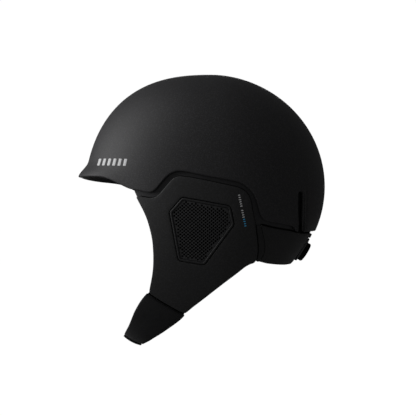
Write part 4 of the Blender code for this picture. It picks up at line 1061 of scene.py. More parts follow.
def shell_relief(point, depth):
    """Groove and ridge behind the slot, and two short ridges at its foot."""
    y, z = point[:, 1], point[:, 2]
    groove = 0.85 * window(y, 93.9, 96.7, 0.9) * window(z, -20.5, 16.2, 1.6)
    ridge = 0.45 * window(y, 91.6, 93.8, 0.9) * window(z, -22.5, 17.0, 3.0)
    low = window(z, -25.0, -12.5, 1.8)
    feet = 0.55 * (window(y, 82.4, 83.7, 0.6) + window(y, 84.6, 86.3, 0.8)) * low
    return depth + np.where(depth < 1.0, groove - ridge - feet, 0)


def make_shell():
    cols = edge_columns(SHELL_EDGE, 1.8, fine=(79.0, 98.5, 0.42))
    profile = arc_rows(np.linspace(0, 1, 118)[:-2], 0.0)
    profile += lift_rows((2.0, 0.0), (1.2, 0.02), (0.72, 0.12), (0.34, 0.36), (0.10, 0.75),
                         (0.0, 1.2), (0.02, 1.6), (0.16, 2.0), (0.5, 2.34), (1.0, 2.48),
                         (1.8, SHELL_T))
    profile += arc_rows(np.linspace(1, 0, 34)[1:], SHELL_T)
    ob = piece("outer_shell", dome(cols, SHELL_EDGE, profile, 0.0, True, shell_relief),
               "shell")
    for side in (1, -1):
        carve(ob, plate(side_map(side), slot_outline(), [],
                        [(-1.25, -2.0), (-1.0, -0.05), (-0.45, 0.22), (-0.12, 0.6),
                         (0, 1.1), (0, 9)], step=9), 34)
    done(ob, "root", "shell", "outer_shell")


def liner_relief(point, depth):
    """Fore-aft grooves and a level groove on the liner's inner face."""
    x, z = np.abs(point[:, 0]), point[:, 2]
    lengthwise = 1.6 * window(x, 34, 41, 2.4) * window(z, 62, 140, 10)
    round_about = window(z, 84.0, 88.5, 1.6) * window(x, 46, 200, 6)
    return depth - np.where(depth > 16.9, np.maximum(lengthwise, round_about), 0)


def make_liner():
    cols = edge_columns(LINER_EDGE, 2.6, lift=LINER_LIFT)
    profile = arc_rows(np.linspace(0, 0.84, 24), LINER_OUT) + arc_rows([0.9], 5.0)
    profile += lift_rows((2.4, 5.0), (0.8, 5.5), (0.15, 6.8), (0.0, 8.5), (0.0, 13.0),
                         (0.2, 14.8), (0.9, 16.2), (2.0, 16.85), (3.4, LINER_IN))
    profile += arc_rows(np.linspace(0.97, 0, 76), LINER_IN)
    add("eva_liner", dome(cols, LINER_EDGE, profile, LINER_LIFT, False, liner_relief),
        "foam", "root", "foam", "eva_liner")


# ------------------------------------------------------------ ear assemblies
def make_trim(put, tag):
    """Trim along the shell edge, and the rib in front of the rear panel."""
    upper = [(y + 2.0, z + 4.5) for y, z in SHELL_EDGE if -73 < y < 82]
    upper[0] = (-71.2, 19.5)
    upper[-1] = (85.8, -14.5)
    line = soft_loop(upper + TRIM_PANEL_SIDE + TRIM_FLAP_SIDE, 1.5, 1.7)
    add("edge_trim_" + tag,
        plate(put, line, [], [(0.95, TRIM_OUT), (0.5, 3.03), (0.2, 3.16), (0, 3.42),
                              (0, 3.98)], step=5),
        "trim", "root", "trim", "edge_trim_" + tag)
    # The rib's darker colour is painted shade.
    add("trim_rib_" + tag,
        plate(put, soft_loop(TRIM_RIB, 0.9, 1.3), [],
              [(0.55, 1.62), (0.3, 1.66), (0.1, 1.82), (0, 2.1), (0, 3.3)], step=4),
        "rib", "root", "trim")


def make_gap_shadow_strip(put, tag, outline):
    """Narrow near-black strip along the flap's top and rear edges, painted shade in the gap
    between the flap and the trim.
    """
    near = np.array(FLAP_TOP + FLAP_REAR, float)
    runs = near[1:] - near[:-1]
    line = ccw(outline)
    offset = line[:, None] - near[None, :-1]
    part = np.clip((offset * runs).sum(-1) / (runs ** 2).sum(-1), 0, 1)
    far = np.linalg.norm(offset - part[..., None] * runs, axis=-1).min(1)
    keep = ((far < 1.6) & (np.hypot(*(line - near[0]).T) > 3.0)
            & (np.hypot(*(line - near[-1]).T) > 1.5))
    first = int(np.flatnonzero(keep & ~np.roll(keep, 1))[0])
    line, keep = np.roll(line, -first, 0), np.roll(keep, -first)
    line = line[:int(np.flatnonzero(~keep)[0])]
    way = unit(np.gradient(line, axis=0))
    outward = np.stack([way[:, 1], -way[:, 0]], -1)
    strip = np.vstack([line + outward * 0.85, (line - outward * 0.9)[::-1]])
    add("flap_gap_shadow_" + tag, plate(put, strip, [], [(0, 2.55), (0, 2.9)], step=60),
        "lip", "flap_" + tag, "flap")


def make_flap(put, tag, outline):
    add("ear_flap_" + tag,
        plate(put, outline, [smooth_loop(VENT, VENT_RADIUS, 1.6)],
              [(0.95, 0.0), (0.6, 0.07), (0.3, 0.27), (0.08, 0.62), (0, 1.05),
               (0, 1.8), (0.2, 2.2), (0.6, FLAP_T)], step=3.2),
        "flap", "flap_" + tag, "flap", "ear_flap_" + tag)


def vent_line(distance, spacing):
    """The vent's outline moved inwards, corners kept round."""
    corners = ccw(np.array(VENT, float))
    way = unit(np.roll(corners, -1, 0) - corners)
    moved = corners + np.stack([-way[:, 1], way[:, 0]], -1) * distance
    out = []
    for i in range(len(corners)):
        start, along, ahead, cross = moved[i - 1], way[i - 1], moved[i] - moved[i - 1], way[i]
        length = ((ahead[0] * cross[1] - ahead[1] * cross[0])
                  / (along[0] * cross[1] - along[1] * cross[0]))
        out.append(tuple(start + along * length))
    return ccw(smooth_loop(out, max(VENT_RADIUS - distance, 1.3), spacing))


def make_vent(put, tag):
    """Frame round the vent and the perforated plate inside it."""
    add("vent_frame_" + tag,
        plate(put, vent_line(0.55, 1.3), [vent_line(2.5, 1.3)],
              [(0.9, -0.2), (0.5, -0.17), (0.2, 0.0), (0.05, 0.25), (0, 0.6), (0, 2.4)],
              step=60),
        "frame", "flap_" + tag, "frame", "ear_vent_frame_" + tag)
    pitch_y, pitch_z = 3.6, 3.1      # staggered rows of holes
    mid = np.array(VENT).mean(0)
    holes = []
    for j in range(-30, 31):
        for i in range(-24, 25):
            y, z = mid[0] + pitch_y * i, mid[1] + pitch_z * j
            holes += [(y, z), (y + pitch_y / 2, z + pitch_z / 2)]
    holes = np.array(holes)
    holes = holes[within(vent_line(4.1, 2.0), holes)]
    add("vent_mesh_" + tag,
        perforated(put, vent_line(2.65, 0.9), holes, radius=0.93, top=0.7, bottom=1.9),
        "mesh", "flap_" + tag, "mesh", "ear_vent_mesh_" + tag, sharp=40)


def make_ear_pad(put, tag):
    """Knit over foam, blown up from a slimmer form, and the web in its opening."""
    opening = circle(1.0, 48) * (18.5, 22.5) + EAR_MID
    ob = piece("ear_pad_" + tag,
               plate(put, inset(ccw(soft_loop(EAR_PAD, 8, 2.2, gentle=20)), 1.0), [opening],
                     [(0.8, 3.4), (0, 4.2), (0, 8.2), (1.2, 9.6), (3.2, 10.6), (5.5, 11.0)],
                     step=4), "pad")

    def depth_of(points):
        return side_x(points[:, 1], points[:, 2]) - np.abs(points[:, 0])

    plump(ob, 2.1, 0.9, lambda points: depth_of(points) < 4.6)
    points = design(ob)
    # A sewn groove round the opening.
    oval = np.hypot((points[:, 1] - EAR_MID[0]) / 17.0, (points[:, 2] - EAR_MID[1]) / 21.0)
    sewn = bell(oval, 1.42, 0.05) * np.clip((depth_of(points) - 7.5) / 2, 0, 1)
    outward = normals(put(points[:, 1:], 0.0))
    set_design(ob, points + outward * (0.9 * sewn)[:, None])
    done(ob, "flap_" + tag, "pad", "ear_pad_" + tag)

    add("ear_web_" + tag,
        # The web's near-black knit is painted shade seen through the vent holes.
        plate(put, inset(ccw(opening), -1.6), [],
              [(0.25, 3.3), (0, 3.42), (0, 3.62), (0.25, 3.75)], step=4),
        "binding", "flap_" + tag, "pad")


# The hinge strip below its bead, as (x, z) from the hinge line.
HINGE_TAIL = [(-0.5, -3.2), (2.4, -7.6), (2.7, -9.4), (2.8, -12.0), (4.0, -12.0),
              (3.8, -8.6), (3.2, -7.0), (0.7, -3.2)]


def make_hinge(side, tag):
    """Beaded webbing strip that hangs the ear cover from its channel."""
    section = [(HINGE_X + 1.2 * math.cos(t), HINGE_Z + 1.2 * math.sin(t))
               for t in np.radians(np.arange(-60, 241, 15))]
    section += [(HINGE_X + x, HINGE_Z + z) for x, z in HINGE_TAIL]
    section = soft_loop(section, 0.35, 0.45, gentle=3.0)
    ys = np.concatenate([[-10, -9.9], np.linspace(-9.6, 9.6, 25), [9.9, 10]])
    sizes = np.concatenate([[0.82, 0.95], np.ones(25), [0.95, 0.82]])
    centre = section.mean(0)
    rings = []
    for y, size in zip(ys, sizes):
        x, z = (centre + (section - centre) * (1 - (1 - size) * np.array([0.25, 0.04]))).T
        rings.append(np.stack([side * x, np.full(len(x), y), z - HINGE_DIP * y], -1))
    add("flap_hinge_" + tag, capped_tube(rings), "tape", "flap_" + tag, "tape",
        "flap_hinge_" + tag, sharp=50)


def make_side(side, tag):
    put = side_map(side)
    outline = soft_loop(FLAP_TOP + FLAP_REAR + FLAP_LOW + FLAP_SEAM + FLAP_FRONT, 3.0, 1.5)
    make_trim(put, tag)
    make_gap_shadow_strip(put, tag, outline)
    make_flap(put, tag, outline)
    make_vent(put, tag)
    make_ear_pad(put, tag)
    make_hinge(side, tag)


# --------------------------------------------------------------------- pads
# Name, plan angles from and to in degrees, lower and upper height,
# thickness, columns, rows.
DOME_PADS = [("brow_pad", -52, 52, 38, 64, 5.5, 70, 20),
             ("side_pad_left", 66, 112, 46, 82, 5.0, 34, 24),
             ("side_pad_right", -112, -66, 46, 82, 5.0, 34, 24),
             ("rear_pad", 146, 214, 6, 40, 5.5, 44, 24)]


def dome_pad(name, start, end, low, high, thick, cols, rows):
    """Pad on the liner's inner face."""
    start, end = math.radians(start), math.radians(end)
    base = LINER_IN + 1.4
    mid_angle, mid_z = (start + end) / 2, (low + high) / 2
    half_angle, half_z = (end - start) / 2, (high - low) / 2
    near = ring_point(np.array([mid_angle - 0.01, mid_angle + 0.01]), np.array([mid_z] * 2))
    mm_per_radian = np.linalg.norm(near[1] - near[0]) / 0.02

    def place(across, down, depth):
        return below(mid_angle + half_angle * across, mid_z - half_z * down, depth)

    rings = [(1.6, base), (1.2, base + 0.1), (1.0, base + 0.5), (1.0, base + 1.1),
             (1.3, base + 1.7), (2.0, cushion(base + 1.2, thick - 2.0))]
    ob = piece(name, rounded_sheet(place, cols, rows, rings, half_angle * mm_per_radian,
                                   half_z, 0.42), "pad")

    def depth_of(points, angle):
        return np.linalg.norm(ring_point(angle, points[:, 2]) - points, axis=1)

    plump(ob, 2.1, 1.0, lambda points: depth_of(points, signed_angle(points)) < base + 0.9)
    points = design(ob)
    angle = signed_angle(points)
    angle = np.where(angle - mid_angle < -math.pi, angle + 2 * math.pi, angle)
    angle = np.where(angle - mid_angle > math.pi, angle - 2 * math.pi, angle)
    # A sewn groove inside the pad's edge.
    across = (angle - mid_angle) / half_angle
    down = -(points[:, 2] - mid_z) / half_z
    sewn = bell((np.abs(across) ** 5 + np.abs(down) ** 5) ** 0.2, 0.80, 0.045)
    sewn = sewn * np.clip((depth_of(points, angle) - base - 1.2) / 1.5, 0, 1)
    set_design(ob, points + normals(points) * (0.8 * sewn)[:, None])
    done(ob, "root", "pad", name)


def make_crown_pad():
    """Domed back and a crowned cushion face with a flat middle."""
    top = TOP_Z - LINER_IN - 0.6
    half_x, half_y = 24, 29

    def place(across, down, depth):
        x, y = half_x * across, half_y * down
        roof = top - (x * x / 120 + y * y / 150) * 0.85
        off = np.clip(across * across + down * down - 0.55, 0, 1)
        floor = CROWN_FACE_Z + 0.25 + 0.9 * off ** 1.5
        return np.stack([x, TOP_Y + y, roof * (1 - depth) + floor * depth], -1)

    # Here the depth runs from 0 at the roof to 1 at the inner face.
    rings = [(1.2, 0.06), (0.5, 0.2), (0.3, 0.5), (0.7, 0.85), (2.0, 1.0)]
    ob = piece("crown_pad", rounded_sheet(place, 34, 40, rings, half_x, half_y, 0.98), "pad")
    plump(ob, 2.0, 0.5, lambda points: points[:, 2] > CROWN_FACE_Z + 2.4)
    points = design(ob)
    oval = np.hypot(points[:, 0] / half_x, (points[:, 1] - TOP_Y) / half_y)
    points[:, 2] += 0.7 * bell(oval, 0.62, 0.05) * (points[:, 2] < CROWN_FACE_Z + 1.6)
    points[:, 2] = np.maximum(points[:, 2], CROWN_FACE_Z - 0.4)
    set_design(ob, points)
    done(ob, "root", "pad", "crown_pad")


# -------------------------------------------------------- rear panel and dial
SPARSE = 400             # fill step so wide that it adds no inner points


def dial_frame(x, along, out):
    """x across, along the slanted face from the dial axis, out on the axis."""
    x, along, out = np.broadcast_arrays(x, along, out)
    sin, cos = math.sin(DIAL_DIP), math.cos(DIAL_DIP)
    along = along + DIAL_ALONG
    return np.stack([x, out * cos + along * sin, -out * sin + along * cos], -1)


def dial_put(flat, out):
    return dial_frame(flat[:, 0], flat[:, 1], out)


def box(half_x, low, high, radius, spacing):
    return smooth_loop([(-half_x, low), (half_x, low), (half_x, high), (-half_x, high)],
                       radius, spacing)


def make_panel():
    front_y, front_z = np.array(PANEL_FRONT, float).T

    def place(across, down, depth):
        def angle_at(z):
            start = plan_angle(soft_interp(-z, -front_z, front_y, 1.6), z)
            return math.pi + across * (math.pi - start)

        top, bottom = np.full(across.shape, -18.0), np.full(across.shape, -54.0)
        for _ in range(8):       # the edges' heights and angles depend on each other
            top, bottom = (edge_height(PANEL_TOP, angle_at(top)),
                           edge_height(PANEL_BOTTOM, angle_at(bottom)))
        part = (down + 1) / 2
        z = top * (1 - part) + bottom * part
        return below(angle_at(z), z, depth)

    rings = [(1.5, PANEL_OUT), (0.8, 1.56), (0.3, 1.85), (0.05, 2.4), (0, 3.0), (0, 4.6),
             (0.15, 5.4), (0.6, 5.88), (1.2, PANEL_IN)]
    ob = piece("rear_panel", rounded_sheet(place, 200, 34, rings, 118.0, 16.5), "panel")
    floor = RECESS_S
    carve(ob, plate(dial_put, box(41, -14, 14.6, 4, 1.4), [],
                    [(-0.6, floor + 12), (-0.25, floor - 0.6), (0.1, floor - 1.15),
                     (0.55, floor - 1.44), (0.9, floor - 1.5)], SPARSE), 30)
    carve(ob, plate(dial_put, circle(4.3, 40), [], [(0, floor + 8), (0, floor - 12)],
                    SPARSE), 30)
    done(ob, "root", "panel", "rear_panel")


def make_panel_lip():
    """Strip between the shell's edge and the rear panel's top, near-black as painted shade in
    the recess.
    """
    start_y = PANEL_FRONT[0][0] - 0.4
    reach = math.pi - plan_angle(np.array([start_y]), np.array([-16.0]))[0]

    def place(across, down, depth):
        angle = math.pi + across * reach
        top = edge_height(SHELL_EDGE, angle) + LIP_RISE + 1.8
        low = edge_height(PANEL_TOP, angle) - 1.6
        part = (down + 1) / 2
        return below(angle, top * (1 - part) + low * part, depth)

    rings = [(0.5, 4.1), (0.2, 4.14), (0.02, 4.3), (0, 4.5), (0.02, 4.7), (0.2, 4.86),
             (0.5, 4.9)]
    add("rear_panel_lip", rounded_sheet(place, 220, 10, rings, 118.0, 3.5),
        "lip", "root", "panel")


def turned(rings):
    """Points turned about the dial axis; rings are (radii, place on the axis)."""
    around = full_turn(len(rings[0][0]))
    return np.array([dial_frame(radii * np.cos(around), radii * np.sin(around), out)
                     for radii, out in rings])


def full_turn(count):
    return np.arange(count) * 2 * math.pi / count


def make_dial():
    """Ridged dial with a hole for its screw."""
    low, top = RECESS_S + 3.9, RECESS_S + 9.5
    # Radius, place on the axis, share of the ridges' depth.
    profile = [(3.4, top - 0.9, 0), (3.45, top - 0.62, 0), (3.75, top - 0.5, 0),
               (5.3, top - 0.5, 0), (5.6, top - 0.36, 0), (5.75, top - 0.1, 0),
               (6.0, top, 0), (7.9, top, 0), (8.35, top - 0.03, 0.1),
               (9.0, top - 0.12, 0.45), (9.6, top - 0.38, 0.8), (10.0, top - 0.8, 0.97),
               (DIAL_R, top - 1.4, 1), (DIAL_R, low + 1.3, 1), (10.0, low + 0.7, 0.97),
               (9.6, low + 0.3, 0.8), (9.0, low + 0.06, 0.45), (8.2, low, 0),
               (6.0, low, 0), (3.4, low, 0)]
    count = DIAL_RIDGES * 12
    ridge = (0.5 - 0.5 * np.cos(DIAL_RIDGES * full_turn(count))) ** 0.8
    points = turned([(radius - share * ridge, out) for radius, out, share in profile])
    rows = len(profile)
    first = np.arange(count)
    faces = np.vstack([grid_faces(rows, count, True),
                       loop_quads((rows - 1) * count + first, first)])
    add("fit_dial", (points.reshape(-1, 3), faces), "dial", "dial", "dial", "fit_dial",
        sharp=50)


def make_dial_screw():
    """Screw head with a hexagon socket."""
    base = RECESS_S
    # Radius, place on the axis, 1 where the ring is a hexagon.
    profile = [(1.1, base + 0.5, 0), (1.1, base + 9.25, 0), (2.7, base + 9.32, 0),
               (2.95, base + 9.5, 0), (2.95, base + 9.75, 0), (2.8, base + 10.0, 0),
               (2.45, base + 10.22, 0), (1.75, base + 10.3, 0), (1.45, base + 10.28, 1),
               (1.35, base + 10.18, 1), (1.33, base + 9.65, 1), (1.2, base + 9.6, 1)]
    sixth = math.pi / 6
    hexagon = math.cos(sixth) / np.cos((full_turn(48) + sixth) % (2 * sixth) - sixth)
    rings = turned([(radius * (1 + (hexagon - 1) * share), out)
                    for radius, out, share in profile])
    add("dial_screw", capped_tube(rings), "steel", "dial", "steel", "dial_screw", sharp=35)


def make_dial_housing():
    """Base plate with rounded edges, and the core behind it, near-black as painted shade in the
    gap round the dial.
    """
    base = RECESS_S
    add("dial_housing",
        plate(dial_put, box(17, -12.6, 13.8, 5, 0.9), [circle(8.4, 72)],
              [(0.45, base + 3.3), (0.28, base + 3.25), (0.12, base + 3.1),
               (0.02, base + 2.88), (0, base + 2.6), (0, base + 1.5)], SPARSE),
        "housing", "root", "housing", "dial_housing", sharp=50)
    add("dial_core",
        plate(dial_put, box(13.5, -11.4, 12.6, 4, 0.9), [circle(9.9, 72)],
              [(0.3, base + 1.4), (0, base + 1.15), (0, base - 1.3)], SPARSE),
        "lip", "root", "housing", sharp=50)


def make_nape(side, tag):
    """Pad inside the fit band, beside the dial."""
    start, end = 34.5, 58.5      # distance of the pad's ends from the middle

    def place(across, down, depth):
        x = (start + end) / 2 + (end - start) / 2 * across
        past = np.maximum(x - BAND_FLAT_X, 0)
        out, drop = BAND_S - BAND_BEND * past ** BAND_POWER, -0.20 * past
        slope = BAND_BEND * BAND_POWER * np.maximum(past, 0.01) ** (BAND_POWER - 1)
        length = np.hypot(slope, 1.0)
        return dial_frame(side * (x - slope / length * depth), drop + 7.0 * down,
                          out - depth / length)

    rings = [(1.2, 1.4), (0.7, 1.5), (0.5, 2.0), (0.7, 2.6), (1.4, cushion(2.4, 3.0))]
    ob = piece("nape_pad_" + tag, rounded_sheet(place, 30, 18, rings, 13.0, 7.0, 0.45), "pad")
    plump(ob, 1.7, 0.6)
    done(ob, "band_" + tag, "pad", "nape_pad_" + tag)


# ----------------------------------------------------------------- chin cup
def cup_surface(across, back):
    """The cup's outer face: across -1 (right seam) to 1, back 0 (front) to 1."""
    across, back = np.broadcast_arrays(across, back)
    phi = across * math.radians(89.0)
    power = 2 / SECTION_POWER
    sin, cos = np.abs(np.sin(phi)) ** power, np.abs(np.cos(phi)) ** power
    sin = np.sign(phi) * (sin - CUP_TAPER * cos * (1 - cos))

    def edge(table, span):
        zs, ys = np.array(table, float).T
        half, seam_z, fall = span
        z = seam_z - fall * cos
        return np.stack([half * sin, soft_interp(-z, -zs, ys), z], -1)

    part = back[..., None]
    middle = edge(CUP_FRONT, CUP_FRONT_SPAN) * (1 - part) + edge(CUP_REAR, CUP_REAR_SPAN) * part
    return middle + unit(middle - CUP_BULGE_HEART) * (CUP_BULGE * 4 * part * (1 - part))


def cup_at(across, back, depth):
    across, back, depth = np.broadcast_arrays(across, back, depth)
    point = cup_surface(across, back)
    step = 2e-3
    normal = unit(np.cross(
        cup_surface(across + step, back) - cup_surface(across - step, back),
        cup_surface(across, back + step) - cup_surface(across, back - step)))
    normal *= np.sign(np.sum(normal * (point - CUP_HEART), -1, keepdims=True))
    return point - normal * depth[..., None]


def crease(points, size, amount):
    """Gentle fabric undulation away from the cup's inside, steady between runs."""
    # Arguments after the place: roughness, scale step, octaves.
    waves = [noise.fractal(Vector((x / size, y / size * 0.55, z / size)), 0.8, 2.0, 3)
             for x, y, z in points]
    return np.array(waves) * amount


def cup_outward(points):
    return unit(points - CUP_HEART)


def blend_chin(ob, slot, *nodes):
    """Bake the object's placement into its mesh and hide the frame parts it replaces."""
    seam, inner = to_frame(cup_at(np.array([-1.0, -0.86]), 0.5, 2.0))
    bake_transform(ob)
    label(ob, slot, *nodes)


STITCH_ROW = 0.925       # place of the strap's stitching between front and rear


def make_strap():
    """Strap from seam to seam, sunk under the central patch."""
    def place(across, down, depth):
        off = np.abs(across)
        sunk = smoothstep((0.305 - off) / 0.034)
        narrow = 1 - 0.045 * np.clip((off - 0.9) / 0.1, 0, 1) ** 2
        back = 0.5 + down / 2 * narrow
        sewn = 0.42 * bell(back, STITCH_ROW, 0.022) * np.clip(1 - depth / 1.5, 0, 1)
        return cup_at(across * 1.006, back, depth + 2.3 * sunk * (1 - depth / 4.0) + sewn)

    rings = [(2.2, 0.0), (1.3, 0.0), (0.75, 0.12), (0.3, 0.45), (0.05, 1.0), (0, 1.7),
             (0, 2.6), (0.1, 3.2), (0.4, 3.7), (0.9, 3.95), (1.6, 4.0)]
    ob = piece("chin_strap", rounded_sheet(place, 300, 64, rings, 118.0, 17.0), "neoprene")
    points = design(ob)
    low = np.clip((-86 - points[:, 2]) / 18, 0, 1)
    set_design(ob, points + cup_outward(points) * (crease(points, 19.0, 0.32) * low)[:, None])
    blend_chin(ob, "neoprene", "chin_strap")


def make_patch():
    def place(across, down, depth):
        return cup_at(across * 0.257, (down + 1) / 2, depth)

    rings = [(1.6, -0.65), (0.8, -0.6), (0.3, -0.3), (0.05, 0.3), (0, 1.05), (0.12, 1.6),
             (0.45, 1.95), (1.2, 2.05)]
    ob = piece("chin_patch", rounded_sheet(place, 90, 44, rings, 31.0, 19.5, 0.18), "patch")
    points = design(ob)
    set_design(ob, points + cup_outward(points) * crease(points + 40, 15.0, 0.25)[:, None])
    done(ob, "chin_cup", "neoprene", "chin_strap_patch")


def make_chin_pad():
    def place(across, down, depth):
        return cup_at(across * 0.60, 0.5 + down * 0.40, depth)

    rings = [(1.6, 4.5), (1.1, 4.55), (0.9, 4.8), (1.0, 5.3), (1.6, cushion(5.2, 1.6, 6))]
    ob = piece("chin_pad", rounded_sheet(place, 110, 22, rings, 60.0, 13.0, 0.35), "pad")
    plump(ob, 1.8, 0.6)
    done(ob, "chin_cup", "pad", "chin_pad")


STITCH, STITCH_GAP, THREAD_R = 2.2, 1.0, 0.17


def stitch_row(name, across, back, depth):
    """Row of short thread stitches that dip into the cloth at each end."""
    path = cup_at(across, back, depth)
    up = cup_at(across, back, depth - 1.0) - path
    along = arc_length(path)
    count = int(along[-1] // (STITCH + STITCH_GAP))
    parts = np.linspace(-0.5, 0.5, 7)
    radii = THREAD_R * np.array([0.35, 0.85, 1, 1, 1, 0.85, 0.35])
    lift = 0.30 - 0.62 * (2 * np.abs(parts)) ** 3
    turn = full_turn(6)[None, :, None]
    shapes = []
    for k in range(count):
        want = (k + 0.5) * along[-1] / count + parts * STITCH
        ups = unit(at_length(want, along, up))
        middle = at_length(want, along, path) + ups * lift[:, None]
        way = unit(np.gradient(middle, axis=0))
        beside = unit(np.cross(way, ups))
        over = np.cross(beside, way)
        shapes.append(capped_tube(
            middle[:, None] + radii[:, None, None]
            * (beside[:, None] * np.cos(turn) + over[:, None] * np.sin(turn))))
    return piece(name, merged(shapes), "thread")


def make_stitches():
    """Stitching along the strap's rear edge and both edges of the patch."""
    across = np.linspace(-0.985, 0.985, 1400)
    for part, chosen in (("right", across < -0.315), ("left", across > 0.315)):
        blend_chin(stitch_row("chin_stitch_rear_" + part, across[chosen], STITCH_ROW, 0.55),
                   "neoprene")
    for tag, back in (("front", 0.10), ("rear", 0.90)):
        done(stitch_row("patch_stitch_" + tag, np.linspace(-0.235, 0.235, 400), back, 0.0),
             "chin_cup", "neoprene")


def make_chin_lip(side, tag, body):
    """Thin lip that tucks behind the ear cover's lower edge, near-black as painted shade along
    the seam.
    """
    def place(across, down, depth):
        back = 0.5 + 0.465 * across
        seam = cup_at(1.0 * side, back, depth)
        way = unit(seam - cup_at(0.96 * side, back, depth))
        return seam + way * (-0.7 - 3.3 * down)[..., None]

    rings = [(0.4, 2.9), (0.15, 2.95), (0, 3.15), (0, 3.4), (0.15, 3.6), (0.4, 3.65)]
    add("chin_lip_" + tag, rounded_sheet(place, 60, 16, rings, 17.0, 3.3, 0.15),
        "lip", body, "neoprene")


def make_hook_tab():
    """Hook tab inside the left end, and the loop patch on the flap."""
    def place(across, down, depth):
        part = (down + 1) / 2
        rise = np.clip((0.42 - part) / 0.42, 0, 1)
        inward = 1.0 - 0.10 * np.clip((part - 0.42) / 0.58, 0, 1)
        point = cup_at(inward, 0.5 + across * 0.34, depth)
        return point + rise[..., None] * np.array([-0.6, 4.2, 7.4])

    rings = [(0.5, 4.4), (0.2, 4.5), (0, 4.9), (0, 5.5), (0.2, 5.9), (0.5, 6.0)]
    add("hook_tab", rounded_sheet(place, 44, 44, rings, 14.0, 9.0, 0.12),
        "tape", "chin_cup", "tape", "hook_tab")
    add("loop_patch",
        plate(side_map(1), soft_loop(LOOP_PATCH, 2, 0.9), [],
              [(0.3, 2.7), (0, 2.85), (0, 3.15), (0.3, 3.3)], step=1.6),
        "tape", "flap_left", "tape", "loop_patch")


# -------------------------------------------------------------- plain marks
def mark(name, put, quads, mat, body, slot):
    """Thin printed marks, 0.1 mm proud of the surface."""
    add(name, merged([plate(put, smooth_loop(quad, 0.45, 0.7), [],
                            [(0.12, -0.10), (0, -0.05), (0, 0.05)], step=1.1)
                      for quad in quads]), mat, body, slot)


def brow_put(flat, depth):
    """Maps (y, z) and a depth to the left of the flared brow."""
    flat = np.asarray(flat, float)
    goal, z = flat[:, 0], flat[:, 1]
    y = goal.copy()
    for _ in range(12):          # undo the flare's shift of y
        angle = plan_angle(y, z)
        edge = edge_height(SHELL_EDGE, angle)
        point = shell_surface(angle, z, edge)
        y = y + (goal - point[:, 1])
    return point - shell_normal(angle, z, edge) * np.reshape(depth, (-1, 1))


def make_brow_stripes():
    quads = []
    for k in range(6):
        y = -107.2 + k * 5.5
        top, low = 47.7 - 0.075 * (y + 107), 40.7 - 0.07 * (y + 107)
        quads.append([(y, low), (y + 2.9, low - 0.2), (y + 4.4, top - 0.3), (y + 1.5, top)])
    mark("brow_stripes", brow_put, quads, "mark_white", "root", "shell")


def make_side_dashes():
    """Line of dashes down the left flap behind the vent, the last four blue."""
    start, end = np.array([28.9, 10.9]), np.array([35.1, -19.1])
    count, length, half, gap_at = 15, 1.05, 1.0, 6
    total = np.linalg.norm(end - start)
    way = (end - start) / total
    beside = np.array([-way[1], way[0]])
    dashes = []
    for k in range(count):
        near = total * k / count
        far = near + length
        dashes.append([tuple(start + way * along + beside * off) for along, off in
                       ((near, -half), (far, -half), (far, half), (near, half))])
    for colour, quads in (("white", dashes[:gap_at] + dashes[gap_at + 1:11]),
                          ("blue", dashes[11:])):
        mark("side_dashes_" + colour, side_map(1), quads, "mark_" + colour,
             "flap_left", "flap")


# -------------------------------------------------- frame pieces kept as built
FRAME_MATS = {"hinge_rail_left": "band", "hinge_rail_right": "band", "detent_ring": "steel",
              "cover_screw_top": "steel", "cover_screw_bottom": "steel",
              "drive_pinion": "dial", "click_spring": "steel", "fit_cover": "housing",
              "fit_band_left": "band", "fit_band_right": "band"}


def paint_frame():
    for node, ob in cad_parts.items():
        if node in FRAME_MATS:
            material = MATS[FRAME_MATS[node]]
            if not ob.data.materials:
                ob.data.materials.append(material)
            for slot in ob.material_slots:
                slot.material = material


# -------------------------------------------------------------------- stage
CAM_DIST, CAM_ELEV = 775.0, -1.2      # mm and degrees
CAM_SHIFT = (0, 0.5, 0.75)            # mm
LENS, LENS_DIST = 35.82, 432.64       # lens that frames the helmet from this distance
AIM = Vector((0, 0, -CROWN_FACE_Z * MM))
AMBIENT = 0.088
# Name, place from the aim in metres, power; every disk is LIGHT_SIZE across.
LIGHTS = [("key", (0.10, -1.25, 0.35), 8.4),
          ("upper", (0.30, -0.90, 0.90), 3.6),
          ("fill", (1.25, -0.30, 0.30), 0.3),
          ("far side", (-1.30, 0.02, 0.25), 6.5),
          ("under", (1.10, -0.75, -0.35), 0.5)]
LIGHT_SIZE = 0.9


def camera_split(owner, output, other, seen):
    """Give the camera one shader and every other ray another.

    Each shader is (kind, grey, strength). Returns the tree, the mix factor
    and the socket that is 1 for camera rays.
    """
    owner.use_nodes = True
    tree = owner.node_tree
    tree.nodes.clear()
    out, mix, path = (tree.nodes.new("ShaderNode" + kind)
                      for kind in (output, "MixShader", "LightPath"))
    for place, (kind, grey, strength) in enumerate((other, seen), 1):
        node = tree.nodes.new("ShaderNode" + kind)
        node.inputs["Color"].default_value = (grey, grey, grey, 1)
        if strength is not None:
            node.inputs["Strength"].default_value = strength
        tree.links.new(node.outputs[0], mix.inputs[place])
    tree.links.new(mix.outputs[0], out.inputs["Surface"])
    return tree, mix.inputs["Fac"], path.outputs["Is Camera Ray"]


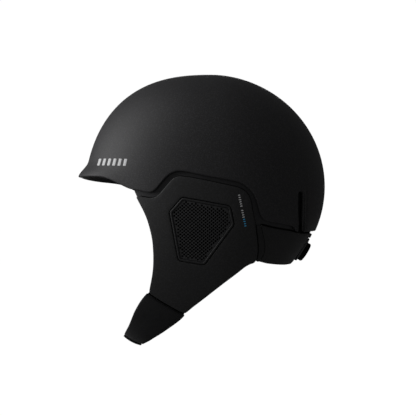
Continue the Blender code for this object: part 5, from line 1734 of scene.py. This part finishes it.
def make_floor():
    mesh = bpy.data.meshes.new("floor")
    z = CAD_BOX[0].z - 0.001
    mesh.from_pydata([(-30, -30, z), (30, -30, z), (30, 30, z), (-30, 30, z)], [],
                     [(0, 1, 2, 3)])
    floor = bpy.data.objects.new("floor", mesh)
    bpy.context.scene.collection.objects.link(floor)
    material = bpy.data.materials.new("floor")
    tree, factor, camera_ray = camera_split(material, "OutputMaterial",
                                            other=("BsdfDiffuse", 0.30, None),
                                            seen=("Emission", 1, 1.08))
    # A little of the diffuse floor shows, so the helmet casts a faint shadow.
    share = tree.nodes.new("ShaderNodeMath")
    share.operation = "MULTIPLY"
    share.inputs[1].default_value = 0.93
    tree.links.new(camera_ray, share.inputs[0])
    tree.links.new(share.outputs[0], factor)
    mesh.materials.append(material)


def make_world():
    world = bpy.data.worlds.new("studio")
    bpy.context.scene.world = world
    tree, factor, camera_ray = camera_split(world, "OutputWorld",
                                            other=("Background", 1, AMBIENT),
                                            seen=("Background", 1, 1.02))
    tree.links.new(camera_ray, factor)


def stand(name, data, place, away):
    """Object at a place, looking against the direction away."""
    ob = bpy.data.objects.new(name, data)
    ob.location = place
    ob.rotation_mode = "QUATERNION"
    ob.rotation_quaternion = (-away).to_track_quat("-Z", "Y")
    bpy.context.scene.collection.objects.link(ob)
    return ob


def make_lights():
    for name, offset, power in LIGHTS:
        light = bpy.data.lights.new(name, "AREA")
        light.shape, light.size, light.energy = "DISK", LIGHT_SIZE, power
        stand(name, light, AIM + Vector(offset), Vector(offset))


def make_camera():
    """Camera on the wearer's left, a touch below level."""
    camera = bpy.data.cameras.new("camera")
    camera.sensor_width, camera.lens = 36.0, LENS * CAM_DIST / LENS_DIST
    camera.clip_start, camera.clip_end = 0.01, 100
    elevation = math.radians(CAM_ELEV)
    away = Vector((math.cos(elevation), 0, math.sin(elevation)))
    place = AIM + away * CAM_DIST * MM + Vector(CAM_SHIFT) * MM
    bpy.context.scene.camera = stand("camera", camera, place, away)


make_materials()
make_shell()
make_liner()
make_side(1, "left")
make_side(-1, "right")
for pad in DOME_PADS:
    dome_pad(*pad)
make_crown_pad()
make_panel()
make_panel_lip()
make_dial()
make_dial_screw()
make_dial_housing()
make_nape(1, "left")
make_nape(-1, "right")
make_strap()
make_patch()
make_chin_pad()
make_stitches()
make_chin_lip(1, "left", "chin_cup")
make_chin_lip(-1, "right", "flap_right")
make_hook_tab()
make_brow_stripes()
make_side_dashes()
paint_frame()
bpy.context.scene.view_settings.view_transform = "Standard"
make_floor()
make_world()
make_lights()
make_camera()
